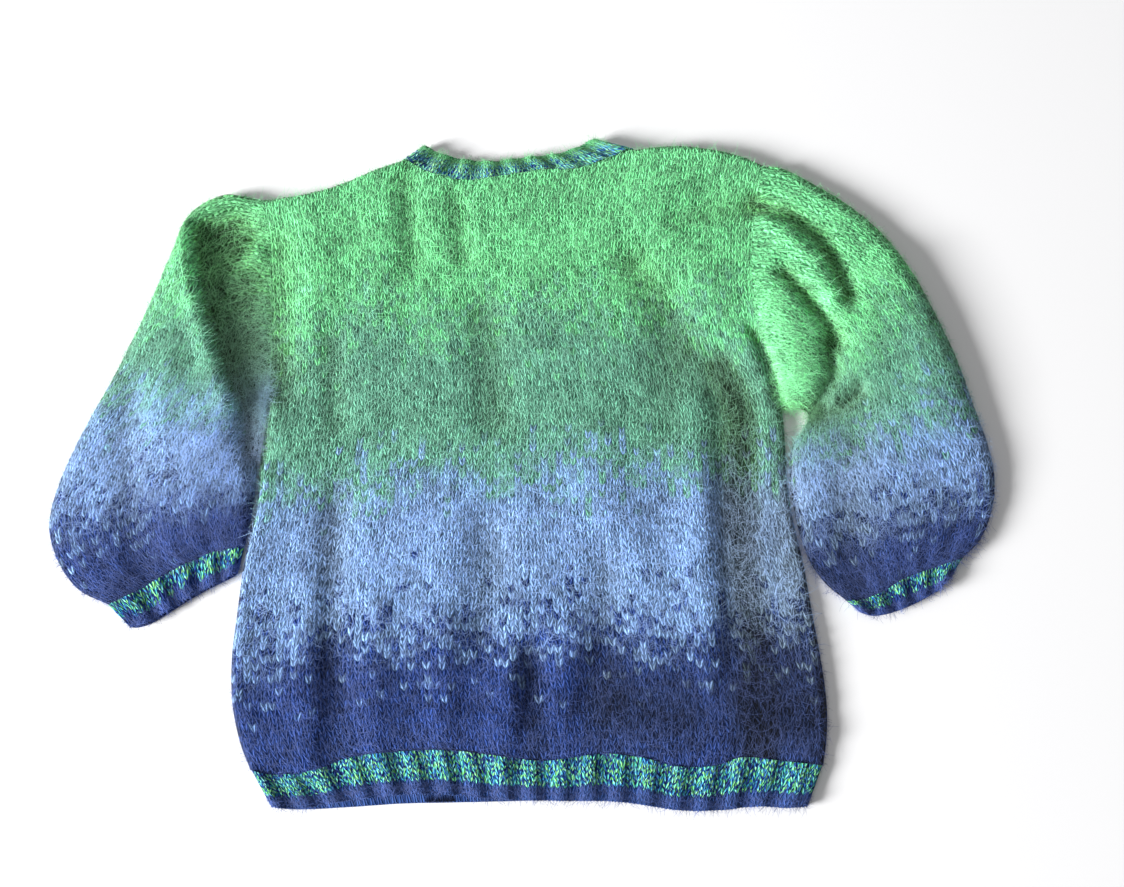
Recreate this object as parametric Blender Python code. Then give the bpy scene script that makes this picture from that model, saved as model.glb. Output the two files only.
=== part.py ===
"""A hand-knitted pullover of brushed mohair, laid flat with its back facing up.

Metres, +Z up. The neck is towards +Y and the wearer's left sleeve is towards -X. The underside lies on
Z = 0, and the origin is under the middle of the garment's box.

Every piece is cloth: a wall of WALL thickness. The lower layer lies flat, the upper layer lies on it with
its folds, and both roll round to meet halfway up wherever the cloth is folded or seamed at an edge.
"""
from collections import namedtuple

import bmesh
import bpy
import numpy as np

# The cloth
WALL = 0.003                # thickness of the knitted cloth
SEAM_GAP = 0.0003           # clearance between two pieces at a seam
SIDE_GAP = 0.0006           # clearance between a sleeve and the side of the body that it lies against
LAYER_GAP = 0.0006          # least clearance between the two layers
RESTING_HEIGHT = 2 * WALL + LAYER_GAP

# How the cloth rolls round at a fold or a side seam
EDGE_MIDDLE = 0.0046        # height of the fold line
EDGE_RADIUS = 0.008         # how far in the roll reaches
EDGE_ROLL = 0.0026          # how much the roll stands above the resting cloth
ROLL_REACH = 0.022          # how far in that rise fades out

# Balloon sleeves stand higher and roll more widely in their middle
SLEEVE_PUFF = 0.0125
SLEEVE_MIDDLE = 0.0078
SLEEVE_RADIUS = 0.017
PUFF_START = 0.24           # share of the sleeve's length by which it is full
PUFF_END_POWER = 6          # how late it gathers in towards the cuff
PUFF_SIDE_POWER = 0.35      # how square the balloon's cross-section is
FOLD_EASE = 0.0015          # softens the foot of every fold

# Ribs of the hem, cuffs and neckband
RIB_PITCH = 0.0265
RIB_RISE = 0.0014
RIB_SQUARENESS = 1.6

LEFT_UNDERARM_Y = 0.066
RIGHT_UNDERARM_Y = 0.060
ARMHOLE_SPAN = 0.220        # both armholes are divided as one of this length is
NECK_LEFT_X = -0.117
NECK_RIGHT_X = 0.106

# The origin is moved from the body's middle to under the middle of the garment's box.
CENTRE_X = 0.0015
CENTRE_Y = 0.0152

# Outlines of the body. Columns: x, y. Each row is a point that a smooth edge passes through, bottom to top
# or left to right.
LEFT_EDGE = (
    (-0.237, -0.264),
    (-0.248, -0.238),
    (-0.256, -0.204),
    (-0.258, -0.165),
    (-0.255, -0.125),
    (-0.2510, -0.083),
    (-0.2448, -0.048),
    (-0.2415, -0.020),
    (-0.2405, 0.012),
    (-0.2370, 0.045),
    (-0.2350, 0.080),
    (-0.2345, 0.120),
    (-0.2370, 0.170),
    (-0.2410, 0.220),
    (-0.249, 0.267),
)
RIGHT_EDGE = (
    (0.266, -0.260),
    (0.270, -0.235),
    (0.271, -0.204),
    (0.267, -0.165),
    (0.261, -0.125),
    (0.2545, -0.080),
    (0.2470, -0.043),
    (0.2430, -0.010),
    (0.2420, 0.024),
    (0.2400, 0.060),
    (0.2310, 0.100),
    (0.2200, 0.140),
    (0.2150, 0.184),
    (0.2160, 0.224),
    (0.2210, 0.264),
    (0.229, 0.302),
)
LEFT_SHOULDER = (
    (-0.249, 0.267),
    (-0.236, 0.268),
    (-0.213, 0.272),
    (-0.189, 0.278),
    (-0.166, 0.287),
    (-0.142, 0.298),
    (NECK_LEFT_X, 0.307),
)
RIGHT_SHOULDER = (
    (NECK_RIGHT_X, 0.318),
    (0.127, 0.321),
    (0.150, 0.322),
    (0.172, 0.320),
    (0.193, 0.316),
    (0.212, 0.310),
    (0.229, 0.302),
)
BACK_NECK = (
    (NECK_LEFT_X, 0.307),
    (-0.086, 0.291),
    (-0.055, 0.285),
    (-0.018, 0.290),
    (0.020, 0.296),
    (0.045, 0.296),
    (0.070, 0.303),
    (NECK_RIGHT_X, 0.318),
)
FRONT_NECK = (
    (NECK_LEFT_X, 0.307),
    (-0.104, 0.278),
    (-0.078, 0.250),
    (-0.040, 0.234),
    (0.000, 0.230),
    (0.038, 0.236),
    (0.074, 0.256),
    (0.096, 0.287),
    (NECK_RIGHT_X, 0.318),
)
HEM_SEAM = (
    (-0.237, -0.264),
    (-0.214, -0.268),
    (-0.180, -0.264),
    (-0.150, -0.253),
    (-0.105, -0.248),
    (-0.062, -0.247),
    (-0.018, -0.252),
    (0.022, -0.256),
    (0.070, -0.250),
    (0.105, -0.253),
    (0.140, -0.261),
    (0.172, -0.260),
    (0.195, -0.253),
    (0.230, -0.256),
    (0.266, -0.260),
)
BACK_HEM = (
    (-0.218, -0.297),
    (-0.190, -0.297),
    (-0.150, -0.291),
    (-0.105, -0.286),
    (-0.061, -0.286),
    (-0.015, -0.290),
    (0.035, -0.291),
    (0.087, -0.292),
    (0.139, -0.299),
    (0.175, -0.299),
    (0.205, -0.296),
    (0.234, -0.297),
    (0.252, -0.296),
)
FRONT_HEM = (
    (-0.218, -0.297),
    (-0.190, -0.298),
    (-0.150, -0.296),
    (-0.105, -0.293),
    (-0.061, -0.292),
    (-0.015, -0.291),
    (0.035, -0.290),
    (0.087, -0.291),
    (0.139, -0.296),
    (0.175, -0.297),
    (0.205, -0.295),
    (0.234, -0.296),
    (0.252, -0.296),
)

# Free edges of the neckband. Columns: x, y.
BACK_BAND_TOP = (
    (-0.097, 0.323),
    (-0.078, 0.314),
    (-0.052, 0.308),
    (-0.026, 0.307),
    (0.002, 0.311),
    (0.028, 0.314),
    (0.048, 0.320),
    (0.068, 0.330),
)
FRONT_BAND_TOP = (
    (-0.097, 0.323),
    (-0.088, 0.292),
    (-0.066, 0.268),
    (-0.034, 0.254),
    (0.000, 0.250),
    (0.030, 0.255),
    (0.056, 0.271),
    (0.070, 0.297),
    (0.068, 0.330),
)

# Outlines of the sleeves as they lie, from the armhole to the cuff. Columns: x, y.
LEFT_SLEEVE_OUTER = (
    (-0.249, 0.267),
    (-0.284, 0.272),
    (-0.317, 0.254),
    (-0.333, 0.214),
    (-0.354, 0.155),
    (-0.378, 0.097),
    (-0.405, 0.040),
    (-0.424, -0.010),
    (-0.430, -0.048),
    (-0.420, -0.080),
    (-0.400, -0.106),
    (-0.372, -0.120),
)
LEFT_CUFF_SEAM = (
    (-0.250, -0.067),
    (-0.276, -0.071),
    (-0.298, -0.080),
    (-0.320, -0.091),
    (-0.342, -0.105),
    (-0.372, -0.120),
)
LEFT_CUFF_END = (
    (-0.255, -0.091),
    (-0.288, -0.108),
    (-0.312, -0.123),
    (-0.333, -0.136),
    (-0.350, -0.141),
)
RIGHT_SLEEVE_OUTER = (
    (0.229, 0.302),
    (0.252, 0.297),
    (0.287, 0.277),
    (0.320, 0.253),
    (0.345, 0.227),
    (0.366, 0.196),
    (0.384, 0.160),
    (0.404, 0.111),
    (0.418, 0.064),
    (0.429, 0.026),
    (0.433, -0.006),
    (0.428, -0.036),
    (0.417, -0.060),
    (0.400, -0.077),
)
RIGHT_SLEEVE_INNER = (
    (0.2408, RIGHT_UNDERARM_Y),
    (0.252, 0.061),
    (0.263, 0.055),
    (0.258, 0.040),
    (0.248, 0.028),
    (0.2434, 0.012),
    (0.2437, -0.010),
    (0.2482, -0.045),
    (0.258, -0.078),
    (0.272, -0.100),
    (0.291, -0.116),
)
RIGHT_CUFF_SEAM = (
    (0.291, -0.116),
    (0.308, -0.114),
    (0.326, -0.107),
    (0.344, -0.096),
    (0.363, -0.089),
    (0.381, -0.083),
    (0.400, -0.077),
)
RIGHT_CUFF_END = (
    (0.303, -0.126),
    (0.320, -0.129),
    (0.343, -0.123),
    (0.370, -0.110),
    (0.388, -0.095),
)
LEFT_UNDERARM_EASE = 1.6    # how slowly the rings of each sleeve leave the underarm
RIGHT_UNDERARM_EASE = 2.0
SEAM_FADE = 3               # how soon the rings lose the bends of the armhole and the cuff seam
CUFF_EASE = 6               # how late the left sleeve's inner edge leaves the body's side for the cuff

# The largest folds of the upper layer. Columns: half its width, its height (below 0 for a furrow), and the
# points that it follows.
Fold = namedtuple("Fold", "half_width height path")
FOLDS = (
    Fold(0.012, -0.0140, ((-0.304, 0.230), (-0.295, 0.192), (-0.286, 0.155), (-0.270, 0.115), (-0.252, 0.062),
                          (-0.246, 0.020))),
    Fold(0.012, 0.0030, ((-0.285, 0.180), (-0.250, 0.210))),
    Fold(0.015, -0.0035, ((-0.288, 0.222), (-0.258, 0.232))),
    Fold(0.022, 0.0030, ((-0.322, 0.200), (-0.332, 0.120), (-0.330, 0.040))),
    Fold(0.026, 0.0030, ((-0.290, 0.060), (-0.292, -0.020))),
    Fold(0.020, -0.0030, ((-0.360, 0.070), (-0.352, -0.040), (-0.338, -0.085))),
    Fold(0.009, -0.0085, ((0.229, 0.265), (0.252, 0.249), (0.279, 0.229), (0.296, 0.195), (0.304, 0.168))),
    Fold(0.011, 0.0050, ((0.233, 0.240), (0.271, 0.203), (0.291, 0.165))),
    Fold(0.009, -0.0075, ((0.246, 0.191), (0.262, 0.173), (0.280, 0.147), (0.295, 0.124))),
    Fold(0.018, 0.0055, ((0.232, 0.150), (0.246, 0.110), (0.260, 0.080))),
    Fold(0.009, -0.0090, ((0.284, 0.122), (0.288, 0.094), (0.270, 0.060))),
    Fold(0.008, -0.0080, ((0.266, 0.053), (0.288, 0.059), (0.307, 0.076))),
    Fold(0.022, 0.0035, ((0.345, 0.200), (0.372, 0.130), (0.385, 0.060))),
    Fold(0.022, -0.0035, ((0.312, 0.050), (0.296, -0.010), (0.297, -0.100))),
    Fold(0.024, 0.0030, ((0.268, 0.010), (0.272, -0.050))),
    Fold(0.013, -0.0040, ((0.178, 0.088), (0.197, 0.048), (0.190, -0.010), (0.190, -0.080), (0.194, -0.140),
                          (0.204, -0.190), (0.208, -0.262))),
    Fold(0.016, 0.0060, ((0.212, 0.060), (0.214, -0.030), (0.213, -0.110), (0.232, -0.200), (0.236, -0.262))),
    Fold(0.018, 0.0048, ((0.160, 0.060), (0.163, -0.060), (0.166, -0.160), (0.176, -0.245))),
    Fold(0.018, 0.0034, ((-0.186, -0.110), (-0.188, -0.190), (-0.184, -0.255))),
    Fold(0.014, 0.0026, ((-0.128, -0.120), (-0.130, -0.200), (-0.122, -0.262))),
    Fold(0.017, 0.0030, ((-0.012, -0.130), (-0.010, -0.200), (-0.014, -0.262))),
    Fold(0.015, 0.0024, ((0.044, -0.150), (0.042, -0.210), (0.050, -0.262))),
    Fold(0.024, 0.0022, ((-0.200, 0.235), (-0.202, 0.150))),
    Fold(0.020, 0.0020, ((-0.132, 0.250), (-0.135, 0.160))),
    Fold(0.022, 0.0022, ((-0.060, -0.040), (-0.072, -0.140))),
    Fold(0.030, 0.0020, ((0.130, 0.270), (0.165, 0.200), (0.180, 0.140))),
)

# How finely each piece is divided
ROLL_TURNS = (0.0, 0.134, 0.5, 1.0)     # steps across a roll, as shares of its radius
BACK_COLUMNS = 34
BACK_ROWS = 17              # below the underarms
FRONT_COLUMNS = 20
FRONT_ROWS = 11
HEM_COLUMNS = 2             # of the back's ribbed hem, for each column of the back
HEM_ROWS = 3
SLEEVE_RINGS = 21
SLEEVE_UPPER_STEPS = 13
SLEEVE_LOWER_STEPS = 4
CUFF_RINGS = 3
CUFF_STEPS = 2              # columns of a cuff for each column of its sleeve
NECK_RINGS = 3
NECK_UPPER_STEPS = 34
NECK_LOWER_STEPS = 22
CURVE_STEPS = 24

# Colours as linear red, green and blue
GREEN_TO_BLUE = (0.125, 0.30, 0.30)
SLEEVE_COLOUR = (0.10, 0.26, 0.24)
MARLED_NAVY = (0.035, 0.14, 0.20)
MARLED_GREEN = (0.06, 0.30, 0.20)
KNIT_ROUGHNESS = 0.95


def read_line(points, share):
    """Points of a line at shares of its length."""
    steps = np.linalg.norm(np.diff(points, axis=0), axis=1)
    shares = np.concatenate([[0], np.cumsum(steps)]) / steps.sum()
    return np.stack([np.interp(share, shares, points[:, k]) for k in (0, 1)], axis=-1)


class Curve:
    """A smooth line through the rows of a table, read by share of its length, by x or by y."""

    def __init__(self, rows):
        knots = np.array(rows, float)
        first = 2 * knots[0] - knots[1]
        last = 2 * knots[-1] - knots[-2]
        knots = np.vstack([first, knots, last])
        t = np.linspace(0, 1, CURVE_STEPS, endpoint=False)[:, None]
        spans = []
        for before, start, finish, after in zip(knots, knots[1:], knots[2:], knots[3:]):
            bend = 2 * before - 5 * start + 4 * finish - after
            twist = 3 * (start - finish) + after - before
            spans.append(start + 0.5 * t * (finish - before + t * (bend + t * twist)))
        self.points = np.vstack(spans + [knots[-2][None]])

    def at(self, share):
        return read_line(self.points, share)

    def at_x(self, x):
        return np.stack([x, np.interp(x, self.points[:, 0], self.points[:, 1])], axis=-1)

    def at_y(self, y):
        return np.stack([np.interp(y, self.points[:, 1], self.points[:, 0]), y], axis=-1)


def mix(first, second, share):
    """A point that share of the way from first to second."""
    share = np.asarray(share)[..., None]
    return first * (1 - share) + second * share


def patch(low, high, start, end, u, v, fade=1):
    """Fills the space between four edges: low and high run along u, start and end along v.

    The bends of start and end fade out along u, the sooner the higher fade is.
    """
    zero = np.zeros_like(u)
    one = np.ones_like(u)
    start_bend = start(v) - mix(low(zero), high(zero), v)
    end_bend = end(v) - mix(low(one), high(one), v)
    bends = start_bend * ((1 - u) ** fade)[..., None] + end_bend * (u ** fade)[..., None]
    return mix(low(u), high(u), v) + bends


def across(width, radius, steps):
    """Shares of a width, fine across the roll at either end and even between them."""
    roll = np.array(ROLL_TURNS) * radius / width
    middle = np.linspace(roll[-1], 1 - roll[-1], steps + 1)
    return np.concatenate([roll[:-1], middle, 1 - roll[:-1][::-1]])


def snapped(shares, values):
    """Moves the nearest share to each of the values, so that a corner has a column of its own."""
    shares = shares.copy()
    for value in values:
        shares[np.abs(shares - value).argmin()] = value
    return shares


def rolled(distance, radius):
    """How far round its roll the cloth is: 1 on the fold line, 0 where it lies flat."""
    return np.clip(1 - distance / radius, 0, 1)


def roll_rise(distance):
    return EDGE_ROLL * np.exp(-(distance / ROLL_REACH) ** 2)


def fold_relief(plan):
    """Height of the folds at points of the plan, each fold fading out at its sides and ends."""
    total = np.zeros(plan.shape[:-1])
    for fold in FOLDS:
        nearest = np.full(plan.shape[:-1], np.inf)
        path = np.array(fold.path)
        for start, end in zip(path, path[1:]):
            run = end - start
            share = np.clip(((plan - start) @ run) / (run @ run), 0, 1)
            nearest = np.minimum(nearest, np.linalg.norm(plan - mix(start, end, share), axis=-1))
        total += fold.height * np.exp(-(nearest / fold.half_width) ** 2)
    return total


def lifted(height):
    """The upper layer's height where its folds stand that high, never lower than the layer under it."""
    return RESTING_HEIGHT + 0.5 * (height + np.sqrt(height ** 2 + FOLD_EASE ** 2)) - 0.5 * FOLD_EASE


def rib_relief(distance):
    """Ribs in pairs of raised and sunk columns, by the distance along the band."""
    wave = np.tanh(RIB_SQUARENESS * np.sin(2 * np.pi * distance / RIB_PITCH))
    return RIB_RISE * 0.5 * (1 + wave / np.tanh(RIB_SQUARENESS))


def layer(plan, inward, middle, crown=None, raised=0.0):
    """Outer and inner points of one layer of cloth.

    inward is 0 on flat cloth and a unit vector into the cloth on a fold line. middle is the height of the
    fold line. crown is the upper layer's height, and None makes the lower layer, which lies on the floor.
    """
    level = np.sqrt(1 - np.clip((inward ** 2).sum(-1), 0, 1))
    if crown is None:
        outer = middle * (1 - level)
        inner = middle - (middle - WALL) * level
    else:
        outer = middle + (crown - middle + raised) * level
        inner = middle + (crown - WALL - middle) * level
    outside = np.concatenate([plan, (outer + np.zeros_like(level))[..., None]], axis=-1)
    inside = np.concatenate([plan + WALL * inward, (inner + np.zeros_like(level))[..., None]], axis=-1)
    return outside, inside


def add_piece(name, outer, inner, material, tube=False):
    """Makes a closed wall from two grids of points. A tube's columns join up all round.

    Both sides are divided along the same diagonals, so that the wall is as thick all over.
    """
    rows, columns = outer.shape[:2]
    size = rows * columns
    grid = np.arange(size).reshape(rows, columns)
    if tube:
        grid = np.hstack([grid, grid[:, :1]])
    a, b, c, d = (corner.ravel() for corner in (grid[:-1, :-1], grid[:-1, 1:], grid[1:, 1:], grid[1:, :-1]))
    outside = np.vstack([np.stack([a, b, c], axis=1), np.stack([a, c, d], axis=1)])
    faces = [tuple(f) for f in outside.tolist()]
    faces += [tuple(f[::-1]) for f in (outside + size).tolist()]
    rims = [grid[0][::-1], grid[-1]]
    if not tube:
        rims += [grid[:, 0], grid[:, -1][::-1]]
    for rim in rims:
        faces += [(q, p, p + size, q + size) for p, q in zip(rim[:-1].tolist(), rim[1:].tolist())]
    points = np.vstack([outer.reshape(-1, 3), inner.reshape(-1, 3)])
    points = points - np.array([CENTRE_X, CENTRE_Y, 0])

    mesh = bpy.data.meshes.new(name)
    mesh.from_pydata(points.tolist(), [], faces)
    shape = bmesh.new()
    shape.from_mesh(mesh)
    bmesh.ops.recalc_face_normals(shape, faces=shape.faces)
    shape.to_mesh(mesh)
    shape.free()
    mesh.shade_smooth()
    mesh.materials.append(material)
    piece = bpy.data.objects.new(name, mesh)
    bpy.context.collection.objects.link(piece)
    return piece


def knit_material(name, colour):
    material = bpy.data.materials.new(name)
    material.use_nodes = True
    shader = material.node_tree.nodes["Principled BSDF"]
    shader.inputs["Base Color"].default_value = (*colour, 1)
    shader.inputs["Roughness"].default_value = KNIT_ROUGHNESS
    shader.inputs["Metallic"].default_value = 0.0
    return material


def armhole_shares(steps):
    """Where the rings of a sleeve's columns and the rows of a panel meet along an armhole."""
    return across(ARMHOLE_SPAN, EDGE_RADIUS, steps)


def underarm_share():
    """How far up a panel its underarms are."""
    return (LEFT_UNDERARM_Y - LEFT_EDGE[0][1]) / (LEFT_EDGE[-1][1] - LEFT_EDGE[0][1])


def body_edges(neck):
    """The four edges of a body panel, with either the back's neckline or the front's."""
    left = Curve(LEFT_EDGE)
    right = Curve(RIGHT_EDGE)
    seam = Curve(HEM_SEAM)
    top = np.vstack([Curve(LEFT_SHOULDER).points, Curve(neck).points[1:], Curve(RIGHT_SHOULDER).points[1:]])

    def low(u):
        return seam.at_x(HEM_SEAM[0][0] + (HEM_SEAM[-1][0] - HEM_SEAM[0][0]) * u)

    def high(u):
        x = LEFT_EDGE[-1][0] + (RIGHT_EDGE[-1][0] - LEFT_EDGE[-1][0]) * u
        return np.stack([x, np.interp(x, top[:, 0], top[:, 1])], axis=-1)

    def start(v):
        return left.at_y(LEFT_EDGE[0][1] + (LEFT_EDGE[-1][1] - LEFT_EDGE[0][1]) * v)

    def end(v):
        levels = (RIGHT_EDGE[0][1], RIGHT_UNDERARM_Y, RIGHT_EDGE[-1][1])
        return right.at_y(np.interp(v, (0, underarm_share(), 1), levels))

    return low, high, start, end


def body_columns(steps):
    """Shares across the body, with a column at each end of the neckline."""
    width = RIGHT_EDGE[-1][0] - LEFT_EDGE[-1][0]
    neck_ends = [(x - LEFT_EDGE[-1][0]) / width for x in (NECK_LEFT_X, NECK_RIGHT_X)]
    return snapped(across(width, EDGE_RADIUS, steps), neck_ends)


def body_grid(neck, columns, rows, armhole_rows):
    """Plan of a body panel, how it is rolled at its edges, and how far that raises it."""
    low, high, start, end = body_edges(neck)
    underarm = underarm_share()
    below = np.linspace(0, underarm, rows, endpoint=False)
    above = underarm + (1 - underarm) * armhole_shares(armhole_rows)
    u, v = np.meshgrid(body_columns(columns), np.concatenate([below, above]))
    plan = patch(low, high, start, end, u, v)

    crosswise = end(v) - start(v)
    crosswise /= np.linalg.norm(crosswise, axis=-1, keepdims=True)
    inward = np.zeros_like(plan)
    rise = np.zeros(u.shape)
    sides = (
        (start(v), crosswise, LEFT_UNDERARM_Y),
        (end(v), -crosswise, RIGHT_UNDERARM_Y),
    )
    for edge, direction, underarm_y in sides:
        distance = np.linalg.norm(plan - edge, axis=-1)
        sewn = rolled(edge[..., 1] - underarm_y, EDGE_RADIUS)
        inward += direction * (sewn * rolled(distance, EDGE_RADIUS))[..., None]
        rise = np.maximum(rise, sewn * roll_rise(distance))
    edge = high(u)
    distance = edge[..., 1] - plan[..., 1]
    into_neck = np.minimum(edge[..., 0] - NECK_LEFT_X, NECK_RIGHT_X - edge[..., 0])
    sewn = rolled(into_neck, EDGE_RADIUS)
    inward += np.array([0, -1]) * (sewn * rolled(distance, EDGE_RADIUS))[..., None]
    rise = np.maximum(rise, sewn * roll_rise(distance))
    return plan, inward, rise


def make_back_panel(material):
    plan, inward, rise = body_grid(BACK_NECK, BACK_COLUMNS, BACK_ROWS, SLEEVE_UPPER_STEPS)
    crown = lifted(fold_relief(plan)) + rise
    outer, inner = layer(plan, inward, EDGE_MIDDLE + SEAM_GAP / 2, crown)
    return add_piece("back_panel", outer, inner, material)


def make_front_panel(material):
    plan, inward, _ = body_grid(FRONT_NECK, FRONT_COLUMNS, FRONT_ROWS, SLEEVE_LOWER_STEPS)
    outer, inner = layer(plan, inward, EDGE_MIDDLE - SEAM_GAP / 2)
    return add_piece("front_panel", outer, inner, material)


def make_hem_rib(name, hem, columns, finer, upper, material):
    """One half of the ribbed hem, from the seam under the panel to the free edge."""
    seam_row = body_edges(BACK_NECK)[0](body_columns(columns))
    knots = np.arange(len(seam_row))
    places = np.linspace(0, len(knots) - 1, (len(knots) - 1) * finer + 1)
    seam = np.stack([np.interp(places, knots, seam_row[:, k]) for k in (0, 1)], axis=-1)
    seam[:, 1] -= SEAM_GAP
    shares = (seam[:, 0] - seam[0, 0]) / (seam[-1, 0] - seam[0, 0])
    free = Curve(hem).at_x(hem[0][0] + (hem[-1][0] - hem[0][0]) * shares)

    down = np.linspace(0, 1, HEM_ROWS + 1)[:, None]
    plan = mix(seam[None] + np.zeros((HEM_ROWS + 1, 1, 1)), free[None], down + np.zeros(len(shares)))
    inward = np.zeros_like(plan)
    rise = np.zeros(plan.shape[:-1])
    for column, side in ((0, 1), (-1, -1)):
        distance = np.abs(plan[..., 0] - plan[:, column, 0][:, None])
        inward[..., 0] += side * rolled(distance, EDGE_RADIUS)
        rise = np.maximum(rise, roll_rise(distance))
    if upper:
        crown = lifted(fold_relief(plan)) + rise
        ribs = rib_relief(plan[..., 0] - plan[:, :1, 0])
        outer, inner = layer(plan, inward, EDGE_MIDDLE + SEAM_GAP / 2, crown, ribs)
    else:
        outer, inner = layer(plan, inward, EDGE_MIDDLE - SEAM_GAP / 2)
    return add_piece(name, outer, inner, material)


def tube_piece(name, upper, lower, material):
    """Joins the upper and lower layers of a tube, which share their first and last columns."""
    outer = np.concatenate([upper[0], lower[0][:, -2:0:-1]], axis=1)
    inner = np.concatenate([upper[1], lower[1][:, -2:0:-1]], axis=1)
    return add_piece(name, outer, inner, material, tube=True)


def sleeve_fullness(u):
    """How full the balloon is, from 0 at the armhole through its full middle to 0 at the cuff."""
    return np.tanh(2 * u / PUFF_START) * np.sqrt(1 - u ** PUFF_END_POWER)


def make_sleeve(name, armhole, inner_edge, outer_edge, cuff_seam, material):
    """A balloon sleeve whose rings fan out from the underarm and then run down to the cuff."""
    rings = np.linspace(0, 1, SLEEVE_RINGS + 1)
    fullness = sleeve_fullness(rings)
    middle = (EDGE_MIDDLE + (SLEEVE_MIDDLE - EDGE_MIDDLE) * fullness)[:, None]
    radius = EDGE_RADIUS + (SLEEVE_RADIUS - EDGE_RADIUS) * fullness
    width = np.linalg.norm(outer_edge(rings) - inner_edge(rings), axis=-1)
    layers = []
    for steps, upper in ((SLEEVE_UPPER_STEPS, True), (SLEEVE_LOWER_STEPS, False)):
        v = np.array([armhole_shares(steps)] + [across(w, r, steps) for w, r in zip(width[1:], radius[1:])])
        u = rings[:, None] + np.zeros_like(v)
        plan = patch(inner_edge, outer_edge, armhole, cuff_seam, u, v, SEAM_FADE)
        crosswise = outer_edge(u) - inner_edge(u)
        crosswise /= np.linalg.norm(crosswise, axis=-1, keepdims=True)
        from_inner = v * width[:, None]
        from_outer = (1 - v) * width[:, None]
        inward = crosswise * (rolled(from_inner, radius[:, None]) - rolled(from_outer, radius[:, None]))[..., None]
        if upper:
            puff = SLEEVE_PUFF * fullness[:, None] * np.sin(np.pi * v) ** PUFF_SIDE_POWER
            rise = roll_rise(np.minimum(from_inner, from_outer))
            layers.append(layer(plan, inward, middle, lifted(fold_relief(plan) + puff) + rise))
        else:
            layers.append(layer(plan, inward, middle))
    return tube_piece(name, *layers, material)


def make_left_sleeve(material):
    side = Curve(LEFT_EDGE)
    outer = Curve(LEFT_SLEEVE_OUTER)
    cuff = Curve(LEFT_CUFF_SEAM)
    top = LEFT_EDGE[-1][1]
    bottom = LEFT_CUFF_SEAM[0][1]
    apart = np.array([SEAM_GAP, 0])
    beside = np.array([SIDE_GAP, 0])
    to_cuff = LEFT_CUFF_SEAM[0] - (side.at_y(np.array(bottom)) - beside)

    def armhole(v):
        return side.at_y(LEFT_UNDERARM_Y + (top - LEFT_UNDERARM_Y) * v) - mix(beside, apart, v)

    def inner_edge(u):
        run = side.at_y(LEFT_UNDERARM_Y + (bottom - LEFT_UNDERARM_Y) * u ** LEFT_UNDERARM_EASE) - beside
        return run + to_cuff * (u ** CUFF_EASE)[..., None]

    def outer_edge(u):
        return outer.at(u) - apart * (1 - u)[..., None]

    return make_sleeve("sleeve_left", armhole, inner_edge, outer_edge, cuff.at, material)


def make_right_sleeve(material):
    side = Curve(RIGHT_EDGE)
    inside = Curve(RIGHT_SLEEVE_INNER)
    outer = Curve(RIGHT_SLEEVE_OUTER)
    cuff = Curve(RIGHT_CUFF_SEAM)
    top = RIGHT_EDGE[-1][1]
    apart = np.array([SEAM_GAP, 0])
    beside = RIGHT_SLEEVE_INNER[0] - side.at_y(np.array(RIGHT_UNDERARM_Y))

    def armhole(v):
        return side.at_y(RIGHT_UNDERARM_Y + (top - RIGHT_UNDERARM_Y) * v) + mix(beside, apart, v)

    def inner_edge(u):
        return inside.at(u ** RIGHT_UNDERARM_EASE)

    def outer_edge(u):
        return outer.at(u) + apart * (1 - u)[..., None]

    return make_sleeve("sleeve_right", armhole, inner_edge, outer_edge, cuff.at, material)


def make_cuff(name, seam_rows, end_rows, material):
    """A ribbed cuff, a short tube from the gathered end of its sleeve to its free edge."""
    end = Curve(end_rows)
    rings = np.linspace(0, 1, CUFF_RINGS + 1)
    drop = np.array(end_rows[len(end_rows) // 2]) - np.array(seam_rows[len(seam_rows) // 2])
    drop *= SEAM_GAP / np.linalg.norm(drop)
    width = np.linalg.norm(np.subtract(seam_rows[-1], seam_rows[0]))
    layers = []
    for steps, upper in ((SLEEVE_UPPER_STEPS, True), (SLEEVE_LOWER_STEPS, False)):
        seam = Curve(seam_rows).at(across(width, EDGE_RADIUS, steps))
        v = across(width, EDGE_RADIUS, CUFF_STEPS * steps)[None] + np.zeros((len(rings), 1))
        plan = mix(read_line(seam, v) + drop, end.at(v), rings[:, None] + np.zeros_like(v))
        span = plan[:, -1:] - plan[:, :1]
        length = np.linalg.norm(span, axis=-1)
        inward = span / length[..., None] * (rolled(v * length, EDGE_RADIUS)
                                             - rolled((1 - v) * length, EDGE_RADIUS))[..., None]
        if upper:
            rise = roll_rise(np.minimum(v, 1 - v) * length)
            ribs = rib_relief(v * width)
            layers.append(layer(plan, inward, EDGE_MIDDLE, lifted(fold_relief(plan)) + rise, ribs))
        else:
            layers.append(layer(plan, inward, EDGE_MIDDLE))
    return tube_piece(name, *layers, material)


def neck_line(neck, columns):
    """The neckline as the columns of its panel draw it."""
    line = body_edges(neck)[1](body_columns(columns))
    within = (line[:, 0] > NECK_LEFT_X - SEAM_GAP) & (line[:, 0] < NECK_RIGHT_X + SEAM_GAP)
    return line[within]


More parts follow.
